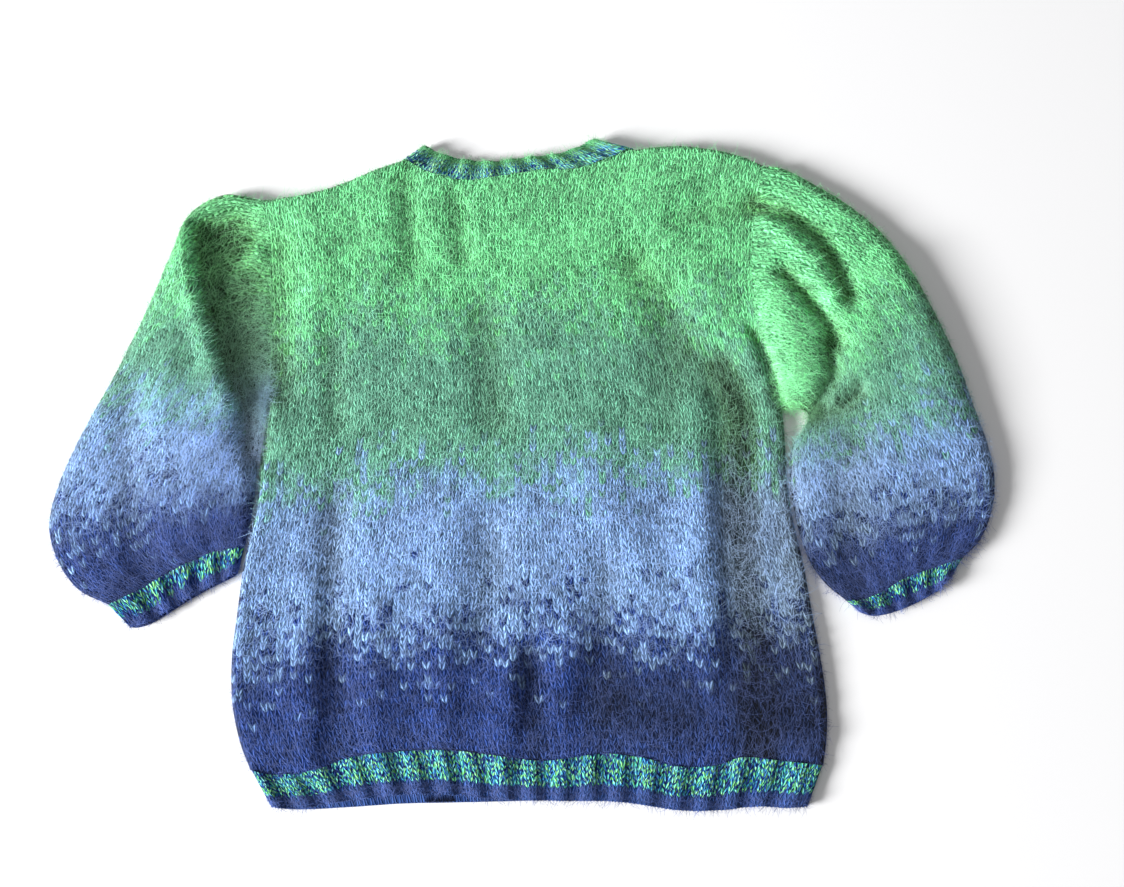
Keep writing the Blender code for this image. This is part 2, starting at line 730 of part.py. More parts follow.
def make_neckband(material):
    """The ribbed neckband, a ring whose front half lies lower, under the back panel."""
    width = NECK_RIGHT_X - NECK_LEFT_X
    middle_x = (NECK_LEFT_X + NECK_RIGHT_X) / 2
    above = np.array([middle_x, BACK_NECK[0][1] + width / 2])
    inside = np.array([middle_x, BACK_NECK[0][1]])
    rings = np.linspace(0, 1, NECK_RINGS + 1)
    halves = (
        (BACK_NECK, BACK_BAND_TOP, above, BACK_COLUMNS, NECK_UPPER_STEPS, True),
        (FRONT_NECK, FRONT_BAND_TOP, inside, FRONT_COLUMNS, NECK_LOWER_STEPS, False),
    )
    plans = []
    for neck, free_rows, hole, columns, steps, _ in halves:
        v = across(width, EDGE_RADIUS, steps)
        seam = read_line(neck_line(neck, columns), v)
        towards = hole - seam
        seam = seam + SEAM_GAP * towards / np.linalg.norm(towards, axis=-1, keepdims=True)
        free = Curve(free_rows).at(v)
        plans.append(mix(seam[None], free[None], rings[:, None] + np.zeros(len(v))))
    for end in (0, -1):
        shared = (plans[0][:, end] + plans[1][:, end]) / 2
        for plan in plans:
            plan[:, end] = shared
    layers = []
    for plan, half in zip(plans, halves):
        left = np.cumsum(np.linalg.norm(np.diff(plan, axis=1, prepend=plan[:, :1]), axis=-1), axis=1)
        right = left[:, -1:] - left
        chord = np.gradient(plan, axis=1)
        chord /= np.linalg.norm(chord, axis=-1, keepdims=True)
        inward = chord * (rolled(left, EDGE_RADIUS) - rolled(right, EDGE_RADIUS))[..., None]
        if half[-1]:
            rise = roll_rise(np.minimum(left, right))
            ribs = rib_relief(left)
            layers.append(layer(plan, inward, EDGE_MIDDLE, lifted(fold_relief(plan)) + rise, ribs))
        else:
            layers.append(layer(plan, inward, EDGE_MIDDLE))
    return tube_piece("neckband", *layers, material)


def build():
    for old in list(bpy.data.objects):
        bpy.data.objects.remove(old, do_unlink=True)
    body = knit_material("brushed_mohair_body", GREEN_TO_BLUE)
    sleeves = knit_material("brushed_mohair_sleeves", SLEEVE_COLOUR)
    marled = knit_material("marled_rib_navy_edge", MARLED_NAVY)
    neck = knit_material("marled_rib_green_edge", MARLED_GREEN)
    make_back_panel(body)
    make_front_panel(body)
    make_left_sleeve(sleeves)
    make_right_sleeve(sleeves)
    make_hem_rib("hem_rib_back", BACK_HEM, BACK_COLUMNS, HEM_COLUMNS, True, marled)
    make_hem_rib("hem_rib_front", FRONT_HEM, FRONT_COLUMNS, 1, False, marled)
    make_cuff("cuff_left", LEFT_CUFF_SEAM, LEFT_CUFF_END, marled)
    make_cuff("cuff_right", RIGHT_CUFF_SEAM, RIGHT_CUFF_END, marled)
    make_neckband(neck)


build()
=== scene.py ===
# %% [markdown]
# # A hand-knitted pullover of brushed mohair
# The real one is knitted by hand in thick, hairy yarn and lies flat, with its back facing up. Its colours
# run from navy at the hem through blue and dusty green to bright green at the shoulders, and they change
# stitch by stitch. A stripe of marled yarn in blues and greens runs round the hem, the cuffs and the neck.
#
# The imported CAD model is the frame: plain walls of cloth at the real size. A thin sheet takes the place of
# each wall here, on the same form and fine enough to carry every stitch, and loose hairs grow on it.

# %% The frame
import math

import bpy
import numpy as np
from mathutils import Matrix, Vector


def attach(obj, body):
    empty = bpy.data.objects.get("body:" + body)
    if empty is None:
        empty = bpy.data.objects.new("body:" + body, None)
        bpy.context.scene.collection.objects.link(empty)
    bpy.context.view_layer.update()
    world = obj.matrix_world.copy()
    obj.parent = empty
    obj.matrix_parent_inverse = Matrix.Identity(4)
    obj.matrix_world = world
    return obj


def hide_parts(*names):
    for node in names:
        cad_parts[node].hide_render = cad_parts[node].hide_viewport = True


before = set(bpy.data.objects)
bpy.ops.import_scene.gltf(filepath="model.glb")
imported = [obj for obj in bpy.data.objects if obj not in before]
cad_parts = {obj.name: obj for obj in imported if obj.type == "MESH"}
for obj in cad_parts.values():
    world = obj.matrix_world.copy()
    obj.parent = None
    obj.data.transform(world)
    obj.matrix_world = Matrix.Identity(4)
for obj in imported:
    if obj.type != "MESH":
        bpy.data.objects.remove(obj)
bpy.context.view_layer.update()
print("CAD nodes:", sorted(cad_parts))

# %% [markdown]
# ## Outlines
# A flat garment is drawn best by its outline. Each table below has only the points that a smooth line
# needs, in metres, measured from the body's middle. They are the tables of the CAD model, so the sheets
# land exactly on the walls that they stand for.

# %% Outlines of the body, as x and y
# A smooth edge passes through these points, from bottom to top or from left to right.
LEFT_UNDERARM_Y = 0.066
RIGHT_UNDERARM_Y = 0.060
NECK_LEFT_X = -0.117
NECK_RIGHT_X = 0.106
LEFT_EDGE = (
    (-0.237, -0.264), (-0.248, -0.238), (-0.256, -0.204), (-0.258, -0.165), (-0.255, -0.125),
    (-0.2510, -0.083), (-0.2448, -0.048), (-0.2415, -0.020), (-0.2405, 0.012), (-0.2370, 0.045),
    (-0.2350, 0.080), (-0.2345, 0.120), (-0.2370, 0.170), (-0.2410, 0.220), (-0.249, 0.267),
)
RIGHT_EDGE = (
    (0.266, -0.260), (0.270, -0.235), (0.271, -0.204), (0.267, -0.165), (0.261, -0.125),
    (0.2545, -0.080), (0.2470, -0.043), (0.2430, -0.010), (0.2420, 0.024), (0.2400, 0.060),
    (0.2310, 0.100), (0.2200, 0.140), (0.2150, 0.184), (0.2160, 0.224), (0.2210, 0.264),
    (0.229, 0.302),
)
LEFT_SHOULDER = (
    (-0.249, 0.267), (-0.236, 0.268), (-0.213, 0.272), (-0.189, 0.278), (-0.166, 0.287),
    (-0.142, 0.298), (NECK_LEFT_X, 0.307),
)
RIGHT_SHOULDER = (
    (NECK_RIGHT_X, 0.318), (0.127, 0.321), (0.150, 0.322), (0.172, 0.320), (0.193, 0.316),
    (0.212, 0.310), (0.229, 0.302),
)
BACK_NECK = (
    (NECK_LEFT_X, 0.307), (-0.086, 0.291), (-0.055, 0.285), (-0.018, 0.290), (0.020, 0.296),
    (0.045, 0.296), (0.070, 0.303), (NECK_RIGHT_X, 0.318),
)
FRONT_NECK = (
    (NECK_LEFT_X, 0.307), (-0.104, 0.278), (-0.078, 0.250), (-0.040, 0.234), (0.000, 0.230),
    (0.038, 0.236), (0.074, 0.256), (0.096, 0.287), (NECK_RIGHT_X, 0.318),
)
HEM_SEAM = (
    (-0.237, -0.264), (-0.214, -0.268), (-0.180, -0.264), (-0.150, -0.253), (-0.105, -0.248),
    (-0.062, -0.247), (-0.018, -0.252), (0.022, -0.256), (0.070, -0.250), (0.105, -0.253),
    (0.140, -0.261), (0.172, -0.260), (0.195, -0.253), (0.230, -0.256), (0.266, -0.260),
)
BACK_HEM = (
    (-0.218, -0.297), (-0.190, -0.297), (-0.150, -0.291), (-0.105, -0.286), (-0.061, -0.286),
    (-0.015, -0.290), (0.035, -0.291), (0.087, -0.292), (0.139, -0.299), (0.175, -0.299),
    (0.205, -0.296), (0.234, -0.297), (0.252, -0.296),
)
FRONT_HEM = (
    (-0.218, -0.297), (-0.190, -0.298), (-0.150, -0.296), (-0.105, -0.293), (-0.061, -0.292),
    (-0.015, -0.291), (0.035, -0.290), (0.087, -0.291), (0.139, -0.296), (0.175, -0.297),
    (0.205, -0.295), (0.234, -0.296), (0.252, -0.296),
)

# %% Free edges of the neckband, as x and y
BACK_BAND_TOP = (
    (-0.097, 0.323), (-0.078, 0.314), (-0.052, 0.308), (-0.026, 0.307), (0.002, 0.311),
    (0.028, 0.314), (0.048, 0.320), (0.068, 0.330),
)
FRONT_BAND_TOP = (
    (-0.097, 0.323), (-0.088, 0.292), (-0.066, 0.268), (-0.034, 0.254), (0.000, 0.250),
    (0.030, 0.255), (0.056, 0.271), (0.070, 0.297), (0.068, 0.330),
)

# %% Outlines of the sleeves and cuffs, as x and y
# From the armhole to the cuff, and from the inner side to the outer one.
LEFT_SLEEVE_OUTER = (
    (-0.249, 0.267), (-0.284, 0.272), (-0.317, 0.254), (-0.333, 0.214), (-0.354, 0.155),
    (-0.378, 0.097), (-0.405, 0.040), (-0.424, -0.010), (-0.430, -0.048), (-0.420, -0.080),
    (-0.400, -0.106), (-0.372, -0.120),
)
LEFT_CUFF_SEAM = (
    (-0.250, -0.067), (-0.276, -0.071), (-0.298, -0.080), (-0.320, -0.091), (-0.342, -0.105),
    (-0.372, -0.120),
)
LEFT_CUFF_END = (
    (-0.255, -0.091), (-0.288, -0.108), (-0.312, -0.123), (-0.333, -0.136), (-0.350, -0.141),
)
RIGHT_SLEEVE_OUTER = (
    (0.229, 0.302), (0.252, 0.297), (0.287, 0.277), (0.320, 0.253), (0.345, 0.227),
    (0.366, 0.196), (0.384, 0.160), (0.404, 0.111), (0.418, 0.064), (0.429, 0.026),
    (0.433, -0.006), (0.428, -0.036), (0.417, -0.060), (0.400, -0.077),
)
RIGHT_SLEEVE_INNER = (
    (0.2408, RIGHT_UNDERARM_Y), (0.252, 0.061), (0.263, 0.055), (0.258, 0.040), (0.248, 0.028),
    (0.2434, 0.012), (0.2437, -0.010), (0.2482, -0.045), (0.258, -0.078), (0.272, -0.100),
    (0.291, -0.116),
)
RIGHT_CUFF_SEAM = (
    (0.291, -0.116), (0.308, -0.114), (0.326, -0.107), (0.344, -0.096), (0.363, -0.089),
    (0.381, -0.083), (0.400, -0.077),
)
RIGHT_CUFF_END = (
    (0.303, -0.126), (0.320, -0.129), (0.343, -0.123), (0.370, -0.110), (0.388, -0.095),
)

# %% [markdown]
# ## Creases
# Thick, soft knitting doesn't crease sharply. It lies in broad furrows and ridges, deepest where a sleeve
# turns away from the body. Each is drawn one by one: half its width, its height (below 0 for a furrow) and
# the few points that it follows. A bell-shaped profile fades it out to the sides and at its ends.

# %% Creases of the upper layer
CREASES = (
    # the left sleeve: the deep valley beside the body, the web across it, and the sleeve's own folds
    (0.011, -0.0165, ((-0.304, 0.232), (-0.295, 0.192), (-0.286, 0.155), (-0.270, 0.115), (-0.252, 0.062),
                      (-0.246, 0.020))),
    # deeper than the cloth can sink here, so the rest of its depth only adds painted shade
    (0.024, -0.0165, ((-0.277, 0.228), (-0.267, 0.165), (-0.255, 0.100))),
    (0.011, 0.0058, ((-0.322, 0.236), (-0.314, 0.190), (-0.301, 0.146), (-0.286, 0.106), (-0.270, 0.066))),
    (0.008, 0.0050, ((-0.288, 0.174), (-0.252, 0.212))),
    (0.020, 0.0030, ((-0.322, 0.200), (-0.332, 0.120), (-0.330, 0.040))),
    (0.024, 0.0030, ((-0.290, 0.060), (-0.292, -0.020))),
    (0.018, -0.0034, ((-0.360, 0.070), (-0.352, -0.040), (-0.338, -0.085))),
    # the right sleeve: two furrows below the shoulder with a ridge between, and the tuck above the gap
    (0.0095, -0.0105, ((0.222, 0.262), (0.252, 0.250), (0.279, 0.229), (0.296, 0.195), (0.304, 0.168))),
    (0.011, 0.0050, ((0.233, 0.240), (0.271, 0.203), (0.291, 0.165))),
    (0.0085, -0.0095, ((0.246, 0.191), (0.262, 0.173), (0.280, 0.147), (0.295, 0.124))),
    (0.020, 0.0042, ((0.240, 0.150), (0.252, 0.110), (0.264, 0.080))),
    (0.009, -0.0100, ((0.284, 0.122), (0.288, 0.094), (0.270, 0.060))),
    (0.008, -0.0100, ((0.266, 0.053), (0.288, 0.059), (0.310, 0.076))),
    (0.022, 0.0035, ((0.345, 0.200), (0.372, 0.130), (0.385, 0.060))),
    (0.022, -0.0035, ((0.312, 0.050), (0.296, -0.010), (0.297, -0.100))),
    (0.024, 0.0030, ((0.268, 0.010), (0.272, -0.050))),
    # the body: the long furrow down its right side, short gathers above the hem, and low swellings
    (0.015, -0.0120, ((0.184, 0.100), (0.203, 0.052), (0.198, -0.011), (0.198, -0.066), (0.202, -0.103),
                      (0.208, -0.149), (0.211, -0.194), (0.212, -0.262))),
    (0.014, 0.0036, ((0.222, 0.060), (0.222, -0.030), (0.224, -0.110), (0.238, -0.200), (0.240, -0.262))),
    (0.018, 0.0048, ((0.160, 0.060), (0.163, -0.060), (0.166, -0.160), (0.176, -0.245))),
    (0.018, 0.0034, ((-0.186, -0.110), (-0.188, -0.190), (-0.184, -0.255))),
    (0.014, 0.0028, ((-0.128, -0.120), (-0.130, -0.200), (-0.122, -0.262))),
    (0.015, -0.0050, ((-0.166, -0.020), (-0.171, -0.130), (-0.158, -0.250))),
    (0.017, 0.0034, ((-0.012, -0.130), (-0.010, -0.200), (-0.014, -0.262))),
    (0.022, -0.0042, ((-0.028, -0.057), (-0.022, -0.150))),
    (0.011, -0.0065, ((0.009, -0.165), (0.013, -0.252))),
    (0.017, -0.0034, ((0.076, -0.075), (0.080, -0.205))),
    (0.014, 0.0030, ((-0.066, -0.140), (-0.068, -0.245))),
    (0.015, 0.0026, ((0.044, -0.150), (0.042, -0.210), (0.050, -0.262))),
    (0.024, 0.0022, ((-0.200, 0.235), (-0.202, 0.150))),
    (0.020, 0.0020, ((-0.132, 0.250), (-0.135, 0.160))),
    (0.022, 0.0022, ((-0.060, -0.040), (-0.072, -0.140))),
    (0.030, 0.0020, ((0.130, 0.270), (0.165, 0.200), (0.180, 0.140))),
    # shallow, wide furrows, which lower the cloth and add painted shade: below the neck, along the
    # armholes, across the back, and at the right side
    (0.013, -0.0034, ((-0.112, 0.283), (-0.103, 0.206))),
    (0.020, -0.0050, ((-0.227, 0.220), (-0.224, 0.078))),
    (0.075, -0.0058, ((0.232, 0.020), (0.245, -0.110), (0.255, -0.262))),
    (0.011, -0.0030, ((-0.063, 0.268), (-0.055, 0.206))),
    (0.014, -0.0036, ((-0.177, 0.126), (-0.170, 0.050))),
    (0.019, -0.0042, ((-0.032, 0.153), (-0.023, 0.053))),
    (0.021, -0.0052, ((0.108, 0.200), (0.135, 0.160), (0.152, 0.124))),
    (0.030, -0.0034, ((0.140, 0.100), (0.160, 0.040))),
    (0.016, -0.0040, ((0.150, 0.246), (0.185, 0.256), (0.216, 0.260))),
    (0.0055, -0.0075, ((0.2400, 0.064), (0.2330, 0.092), (0.2240, 0.118), (0.2150, 0.136))),
    (0.044, -0.0080, ((0.080, -0.214), (0.250, -0.205))),
    (0.026, -0.0040, ((0.228, -0.030), (0.236, -0.150))),
    (0.030, -0.0034, ((0.318, -0.055), (0.395, -0.035))),
    (0.024, 0.0024, ((0.060, 0.050), (0.085, -0.050))),
)

# %% [markdown]
# ## Curves and grids
# Every sheet is a grid of points: columns across the knitting and rows along it. A smooth curve passes
# through each table's points, and the space between two opposite curves is filled by straight lines whose
# bends fade out. Grid lines then run as the columns and rows of stitches do.

# %% Smooth curves and the space between them
CURVE_STEPS = 24
NO_LENGTH = 1e-12           # metres; a vector shorter than this has no direction


def unit(vectors, least=0.0):
    """Vectors at length 1. least is added to their lengths, so that none is divided by nothing."""
    return vectors / (np.linalg.norm(vectors, axis=-1, keepdims=True) + least)


def read_line(points, share):
    """Points of a line at shares of its length."""
    steps = np.linalg.norm(np.diff(points, axis=0), axis=1)
    shares = np.concatenate([[0], np.cumsum(steps)]) / steps.sum()
    return np.stack([np.interp(share, shares, points[:, k]) for k in (0, 1)], axis=-1)


class Curve:
    """A smooth line through the rows of a table, read by share of its length, by x or by y."""

    def __init__(self, rows):
        knots = np.array(rows, float)
        first = 2 * knots[0] - knots[1]
        last = 2 * knots[-1] - knots[-2]
        knots = np.vstack([first, knots, last])
        t = np.linspace(0, 1, CURVE_STEPS, endpoint=False)[:, None]
        spans = []
        for before, start, finish, after in zip(knots, knots[1:], knots[2:], knots[3:]):
            bend = 2 * before - 5 * start + 4 * finish - after
            twist = 3 * (start - finish) + after - before
            spans.append(start + 0.5 * t * (finish - before + t * (bend + t * twist)))
        self.points = np.vstack(spans + [knots[-2][None]])

    def at(self, share):
        return read_line(self.points, share)

    def at_x(self, x):
        return np.stack([x, np.interp(x, self.points[:, 0], self.points[:, 1])], axis=-1)

    def at_y(self, y):
        return np.stack([np.interp(y, self.points[:, 1], self.points[:, 0]), y], axis=-1)


def mix(first, second, share):
    """A point that share of the way from first to second."""
    share = np.asarray(share)[..., None]
    return first * (1 - share) + second * share


def patch(low, high, start, end, u, v, fade):
    """Fills the space between low and high, which run along u. The bends of start and end fade out."""
    zero = np.zeros_like(u)
    one = np.ones_like(u)
    start_bend = start(v) - mix(low(zero), high(zero), v)
    end_bend = end(v) - mix(low(one), high(one), v)
    bends = start_bend * ((1 - u) ** fade)[..., None] + end_bend * (u ** fade)[..., None]
    return mix(low(u), high(u), v) + bends


# %% [markdown]
# ## How the cloth lies
# The lower layer is flat on the floor and the upper layer rests on it. Where the cloth is folded or seamed
# at a side, both roll round and meet halfway up. The upper layer is lifted by its creases, and it can't
# sink below the layer under it.

# %% Heights of the two layers
WALL = 0.003                # thickness of the knitted cloth
SEAM_GAP = 0.00002          # the sheets all but touch where the solids lie 0.3 mm apart
SIDE_GAP = 0.0006           # between the body and the left sleeve, below the underarm
RESTING_HEIGHT = 0.0066     # of the upper layer, on the lower one
EDGE_MIDDLE = 0.0046        # of the line where the two layers meet
EDGE_RADIUS = 0.008         # how far in the roll reaches
EDGE_ROLL = 0.0026          # how much a rolled side stands above the resting cloth
ROLL_REACH = 0.022          # how far in that rise fades out
FOLD_EASE = 0.0015          # softens the foot of every crease
PAINTED_SHADE_DEPTH = 0.0150       # a furrow this deep gets the full painted shade
PAINTED_EDGE_SHADE = 0.5            # how much painted shade the cloth gets round a rolled edge


def rolled(distance, radius):
    """How far round its roll the cloth is: 1 on the fold line, 0 where it lies flat."""
    return np.clip(1 - distance / radius, 0, 1)


def roll_rise(distance):
    """How much higher the cloth stands at this distance from a rolled side."""
    return EDGE_ROLL * np.exp(-(distance / ROLL_REACH) ** 2)


def crease_relief(plan):
    """Height of the creases at points of the plan, each fading out at its sides and ends."""
    total = np.zeros(plan.shape[:-1])
    for half_width, height, points in CREASES:
        nearest = np.full(plan.shape[:-1], np.inf)
        path = np.array(points)
        for start, end in zip(path, path[1:]):
            run = end - start
            share = np.clip(((plan - start) @ run) / (run @ run), 0, 1)
            nearest = np.minimum(nearest, np.linalg.norm(plan - mix(start, end, share), axis=-1))
        total += height * np.exp(-(nearest / half_width) ** 2)
    return total


# A furrow below the resting height lowers the cloth no further; the rest only adds painted shade.
def painted_shade_share(relief, inward):
    """Painted shade: how deep in a furrow, or how far round an edge, the cloth lies, from 0 to 1."""
    furrow = np.clip(-relief / PAINTED_SHADE_DEPTH, 0, 1)
    edge = (inward ** 2).sum(-1) * PAINTED_EDGE_SHADE
    return np.clip(furrow + edge, 0, 1)


def lifted(height):
    """The upper layer's height where its creases stand that high, never lower than the layer under it."""
    return RESTING_HEIGHT + 0.5 * (height + np.sqrt(height ** 2 + FOLD_EASE ** 2)) - 0.5 * FOLD_EASE


def surface(plan, inward, middle, crown=None):
    """Points of one layer's outside. crown is the upper layer's height, and None makes the lower layer."""
    level = np.sqrt(1 - np.clip((inward ** 2).sum(-1), 0, 1))
    if crown is None:
        height = middle * (1 - level)
    else:
        height = middle + (crown - middle) * level
    return np.concatenate([plan, (height + np.zeros_like(level))[..., None]], axis=-1)


def lay_tube(plan, across, from_first, from_last, crown=None, middle=EDGE_MIDDLE, radius=EDGE_RADIUS):
    """One layer of a flat tube and how far it is rolled, from the distances to the tube's two sides."""
    inward = unit(across) * (rolled(from_first, radius) - rolled(from_last, radius))[..., None]
    if crown is not None:
        crown = crown + roll_rise(np.minimum(from_first, from_last))
    return surface(plan, inward, middle, crown), inward


def join_layers(layers, columns):
    """Both layers of a tube as one closed grid, and the column of each grid line and of the first again."""
    upper, lower = layers
    over = np.linspace(0, columns, upper.shape[1])
    under = np.linspace(columns, 2 * columns, lower.shape[1])[1:]
    return np.concatenate([upper, lower[:, -2:0:-1]], axis=1), np.concatenate([over, under])


# %% [markdown]
# ## Stitches in the mesh
# Stocking stitch shows as columns of small V's: each stitch has two slanted legs with a groove between
# them, and its neighbours follow close. With four cells across a stitch and three along it, the grid's own
# points can form the legs and grooves, so the stitches also show in the outline and in raking light.
# A bump in the material adds the twist of the yarn later.

# %% The form of a stitch
CELLS_ACROSS = 4            # grid cells across one stitch
CELLS_ALONG = 3
HIDDEN_CELLS = 2            # grid cells across a stitch in the layer on the floor
LAYERS = ((CELLS_ACROSS, True), (HIDDEN_CELLS, False))      # a tube's upper and lower layer
LEG_ROUNDNESS = 0.7         # below 1 the legs are plump
NUMBERS = np.random.default_rng(3).random((64, 64))         # one for each stitch, repeated
WANDER_SEED = 4
STITCH_DEPTH = 0.0011       # of the grooves between the legs
STITCH_UNEVENNESS = 0.5     # by how much one stitch may stand lower than another
WANDER = 0.06               # how far hand-knitted stitches stray, in stitches
WANDER_WAVES = 20
WANDER_LENGTHS = (3.0, 12.0)    # of the waves in which they stray, in stitches
STITCH_SLANT = 0.55         # how far a leg's outer end is ahead of its inner end, in rows
ROW_GAP_POWER = 0.45        # how narrow the gap between a stitch and the next one is
EDGE_STEPS = 6              # grid points from an edge by which the stitches may stray fully
FLAT_UNDERSIDE = 0.0008     # below this height the cloth is pressed flat by the floor
FLAT_FADE = 0.003


def stitch_relief(stitches):
    """How far the cloth's surface lies behind the tops of the legs, at points given as column and row."""
    across = np.abs(stitches[..., 0] % 1 * 2 - 1)
    along = (stitches[..., 1] - STITCH_SLANT * across) % 1
    leg = np.sin(np.pi * across) ** LEG_ROUNDNESS * np.sin(np.pi * along) ** ROW_GAP_POWER
    column = np.floor(stitches[..., 0]).astype(int) % len(NUMBERS)
    row = np.floor(stitches[..., 1] - STITCH_SLANT * across).astype(int) % len(NUMBERS)
    number = NUMBERS[column, row]
    return STITCH_DEPTH * (1 - np.clip(leg, 0, 1) * (1 - STITCH_UNEVENNESS * number))


def stray(stitches):
    """How far each point strays across and along the knitting, in stitches, fading out at the edges."""
    draw = np.random.default_rng(WANDER_SEED)
    total = np.zeros(stitches.shape)
    for _ in range(WANDER_WAVES):
        turn, phase = draw.uniform(0, 2 * np.pi, 2)
        pace = 2 * np.pi / draw.uniform(*WANDER_LENGTHS)
        wave = np.cos(stitches @ (pace * np.array([np.cos(turn), np.sin(turn)])) + phase)
        total += wave[..., None] * draw.normal(size=2)
    for axis in (0, 1):
        steps = np.arange(stitches.shape[axis])
        fade = np.clip(np.minimum(steps, steps[::-1]) / EDGE_STEPS, 0, 1)
        total *= fade.reshape((-1, 1, 1) if axis == 0 else (1, -1, 1))
    return WANDER * total / math.sqrt(WANDER_WAVES / 2)


def grid_normals(points, closed):
    """Unit normals of a grid. A closed grid's columns join up all round."""
    along = np.gradient(points, axis=0)
    if closed:
        across = np.roll(points, -1, axis=1) - np.roll(points, 1, axis=1)
    else:
        across = np.gradient(points, axis=1)
    normals = np.cross(across, along)
    length = np.linalg.norm(normals, axis=-1, keepdims=True)
    return np.where(length > NO_LENGTH, normals / np.maximum(length, NO_LENGTH), (0.0, 0.0, 1.0))


# %% A smooth mesh with UV maps
def add_mesh(name, points, faces, maps, material):
    """A smooth mesh. maps gives each UV map's values at the corners of the faces."""
    mesh = bpy.data.meshes.new(name)
    mesh.from_pydata(points.tolist(), [], faces.tolist())
    for map_name, values in maps.items():
        mesh.uv_layers.new(name=map_name).data.foreach_set("uv", values.ravel())
    mesh.shade_smooth()
    mesh.materials.append(material)
    piece = bpy.data.objects.new(name, mesh)
    bpy.context.collection.objects.link(piece)
    print(name, len(mesh.polygons) * 2, "triangles")
    return piece


# %% Turning a grid of points into a sheet of knitting
# The origin is moved from the body's middle to under the middle of the garment's box, as in the CAD model.
CENTRE = np.array([0.0015, 0.0152, 0.0])
sheets = {}


def add_sheet(name, points, stitches, material, shades=None, closed=False, dropped=None, turned=False,
              smooth=False):
    """A sheet of knitting named for the CAD node that it replaces.

    stitches gives each point's column and row in the knitting, and shades the share of painted shade at its
    furrow or rolled edge and the row that its colour comes from. Each becomes a UV map. On a closed grid
    they have one column more than the points, where the tube joins up. turned is for a grid whose faces
    would point inwards, and dropped marks grid points outside the outline. A smooth sheet has no stitches
    in its mesh.
    """
    if shades is None:
        shades = np.stack([np.zeros(stitches.shape[:-1]), stitches[..., 1]], axis=-1)
    places = stitches[:, :points.shape[1]]
    if not smooth:
        strayed = stray(stitches)[:, :points.shape[1]]
        across = np.gradient(points, axis=1) / np.gradient(places[..., 0], axis=1)[..., None]
        along = np.gradient(points, axis=0) / np.gradient(places[..., 1], axis=0)[..., None]
        points = points + across * strayed[..., :1] + along * strayed[..., 1:]
    normals = grid_normals(points, closed) * (-1 if turned else 1)
    if not smooth:
        raised = np.clip((points[..., 2] - FLAT_UNDERSIDE) / FLAT_FADE, 0, 1)
        depth = stitch_relief(places) * raised
        points = points - normals * depth[..., None]
    points = points - CENTRE
    grid = np.arange(points.shape[0] * points.shape[1]).reshape(points.shape[:2])
    if closed:
        grid = np.hstack([grid, grid[:, :1]])
    here, onward = slice(None, -1), slice(1, None)
    steps = (here, here), (here, onward), (onward, onward), (onward, here)
    corners = np.stack([grid[step].ravel() for step in steps], axis=1)
    maps = {map_name: np.stack([values[step].reshape(-1, 2) for step in steps], axis=1)
            for map_name, values in (("stitches", stitches), ("shades", shades))}
    if dropped is not None:
        kept = ~np.stack([dropped[step].ravel() for step in steps], axis=1).all(axis=1)
        corners = corners[kept]
        maps = {name: values[kept] for name, values in maps.items()}
    if turned:
        corners = corners[:, ::-1]
        maps = {name: values[:, ::-1] for name, values in maps.items()}
    used, corners = np.unique(corners, return_inverse=True)
    piece = add_mesh(name + "_knit", points.reshape(-1, 3)[used], corners.reshape(-1, 4), maps, material)
    sheets[name] = {"piece": piece, "points": points, "normals": normals, "stitches": stitches,
                    "shades": shades}


# %% [markdown]
# ## The yarn
# Brushed mohair is a soft, loosely spun wool whose long hairs are combed out of the thread. To the eye it
# is matt, with a pale bloom at grazing angles and deep, dark gaps between the stitches. The colour changes
# were knitted in: each stitch is wholly one colour. So the material works in stitches. It reads the
# column and row from the UV map, gives each stitch its random numbers, and lets those decide on which side
# of a colour change the stitch falls.

# %% Helpers for nodes
def linear(hex_colour):
    """An sRGB hex colour as linear red, green, blue and alpha."""
    values = [int(hex_colour[k:k + 2], 16) / 255 for k in (1, 3, 5)]
    return [v / 12.92 if v <= 0.04045 else ((v + 0.055) / 1.055) ** 2.4 for v in values] + [1.0]


def add_node(tree, kind, inputs=(), **settings):
    """Adds a node whose type is ShaderNode and kind.

    inputs gives sockets in their order, or as pairs of a socket and what it gets: a value, or another
    node or socket to link from.
    """
    node = tree.nodes.new("ShaderNode" + kind)
    for name, value in settings.items():
        setattr(node, name, value)
    for key, value in inputs.items() if isinstance(inputs, dict) else enumerate(inputs):
        if isinstance(value, bpy.types.Node):
            value = value.outputs[0]
        if isinstance(value, bpy.types.NodeSocket):
            tree.links.new(value, node.inputs[key])
        else:
            node.inputs[key].default_value = value
    return node


# %% Where a point lies in the knitting
UNEVENNESS = 0.34           # how far the legs bend out of line, in stitches
UNEVEN_SCALE = 0.9          # of those bends, in parts of a stitch


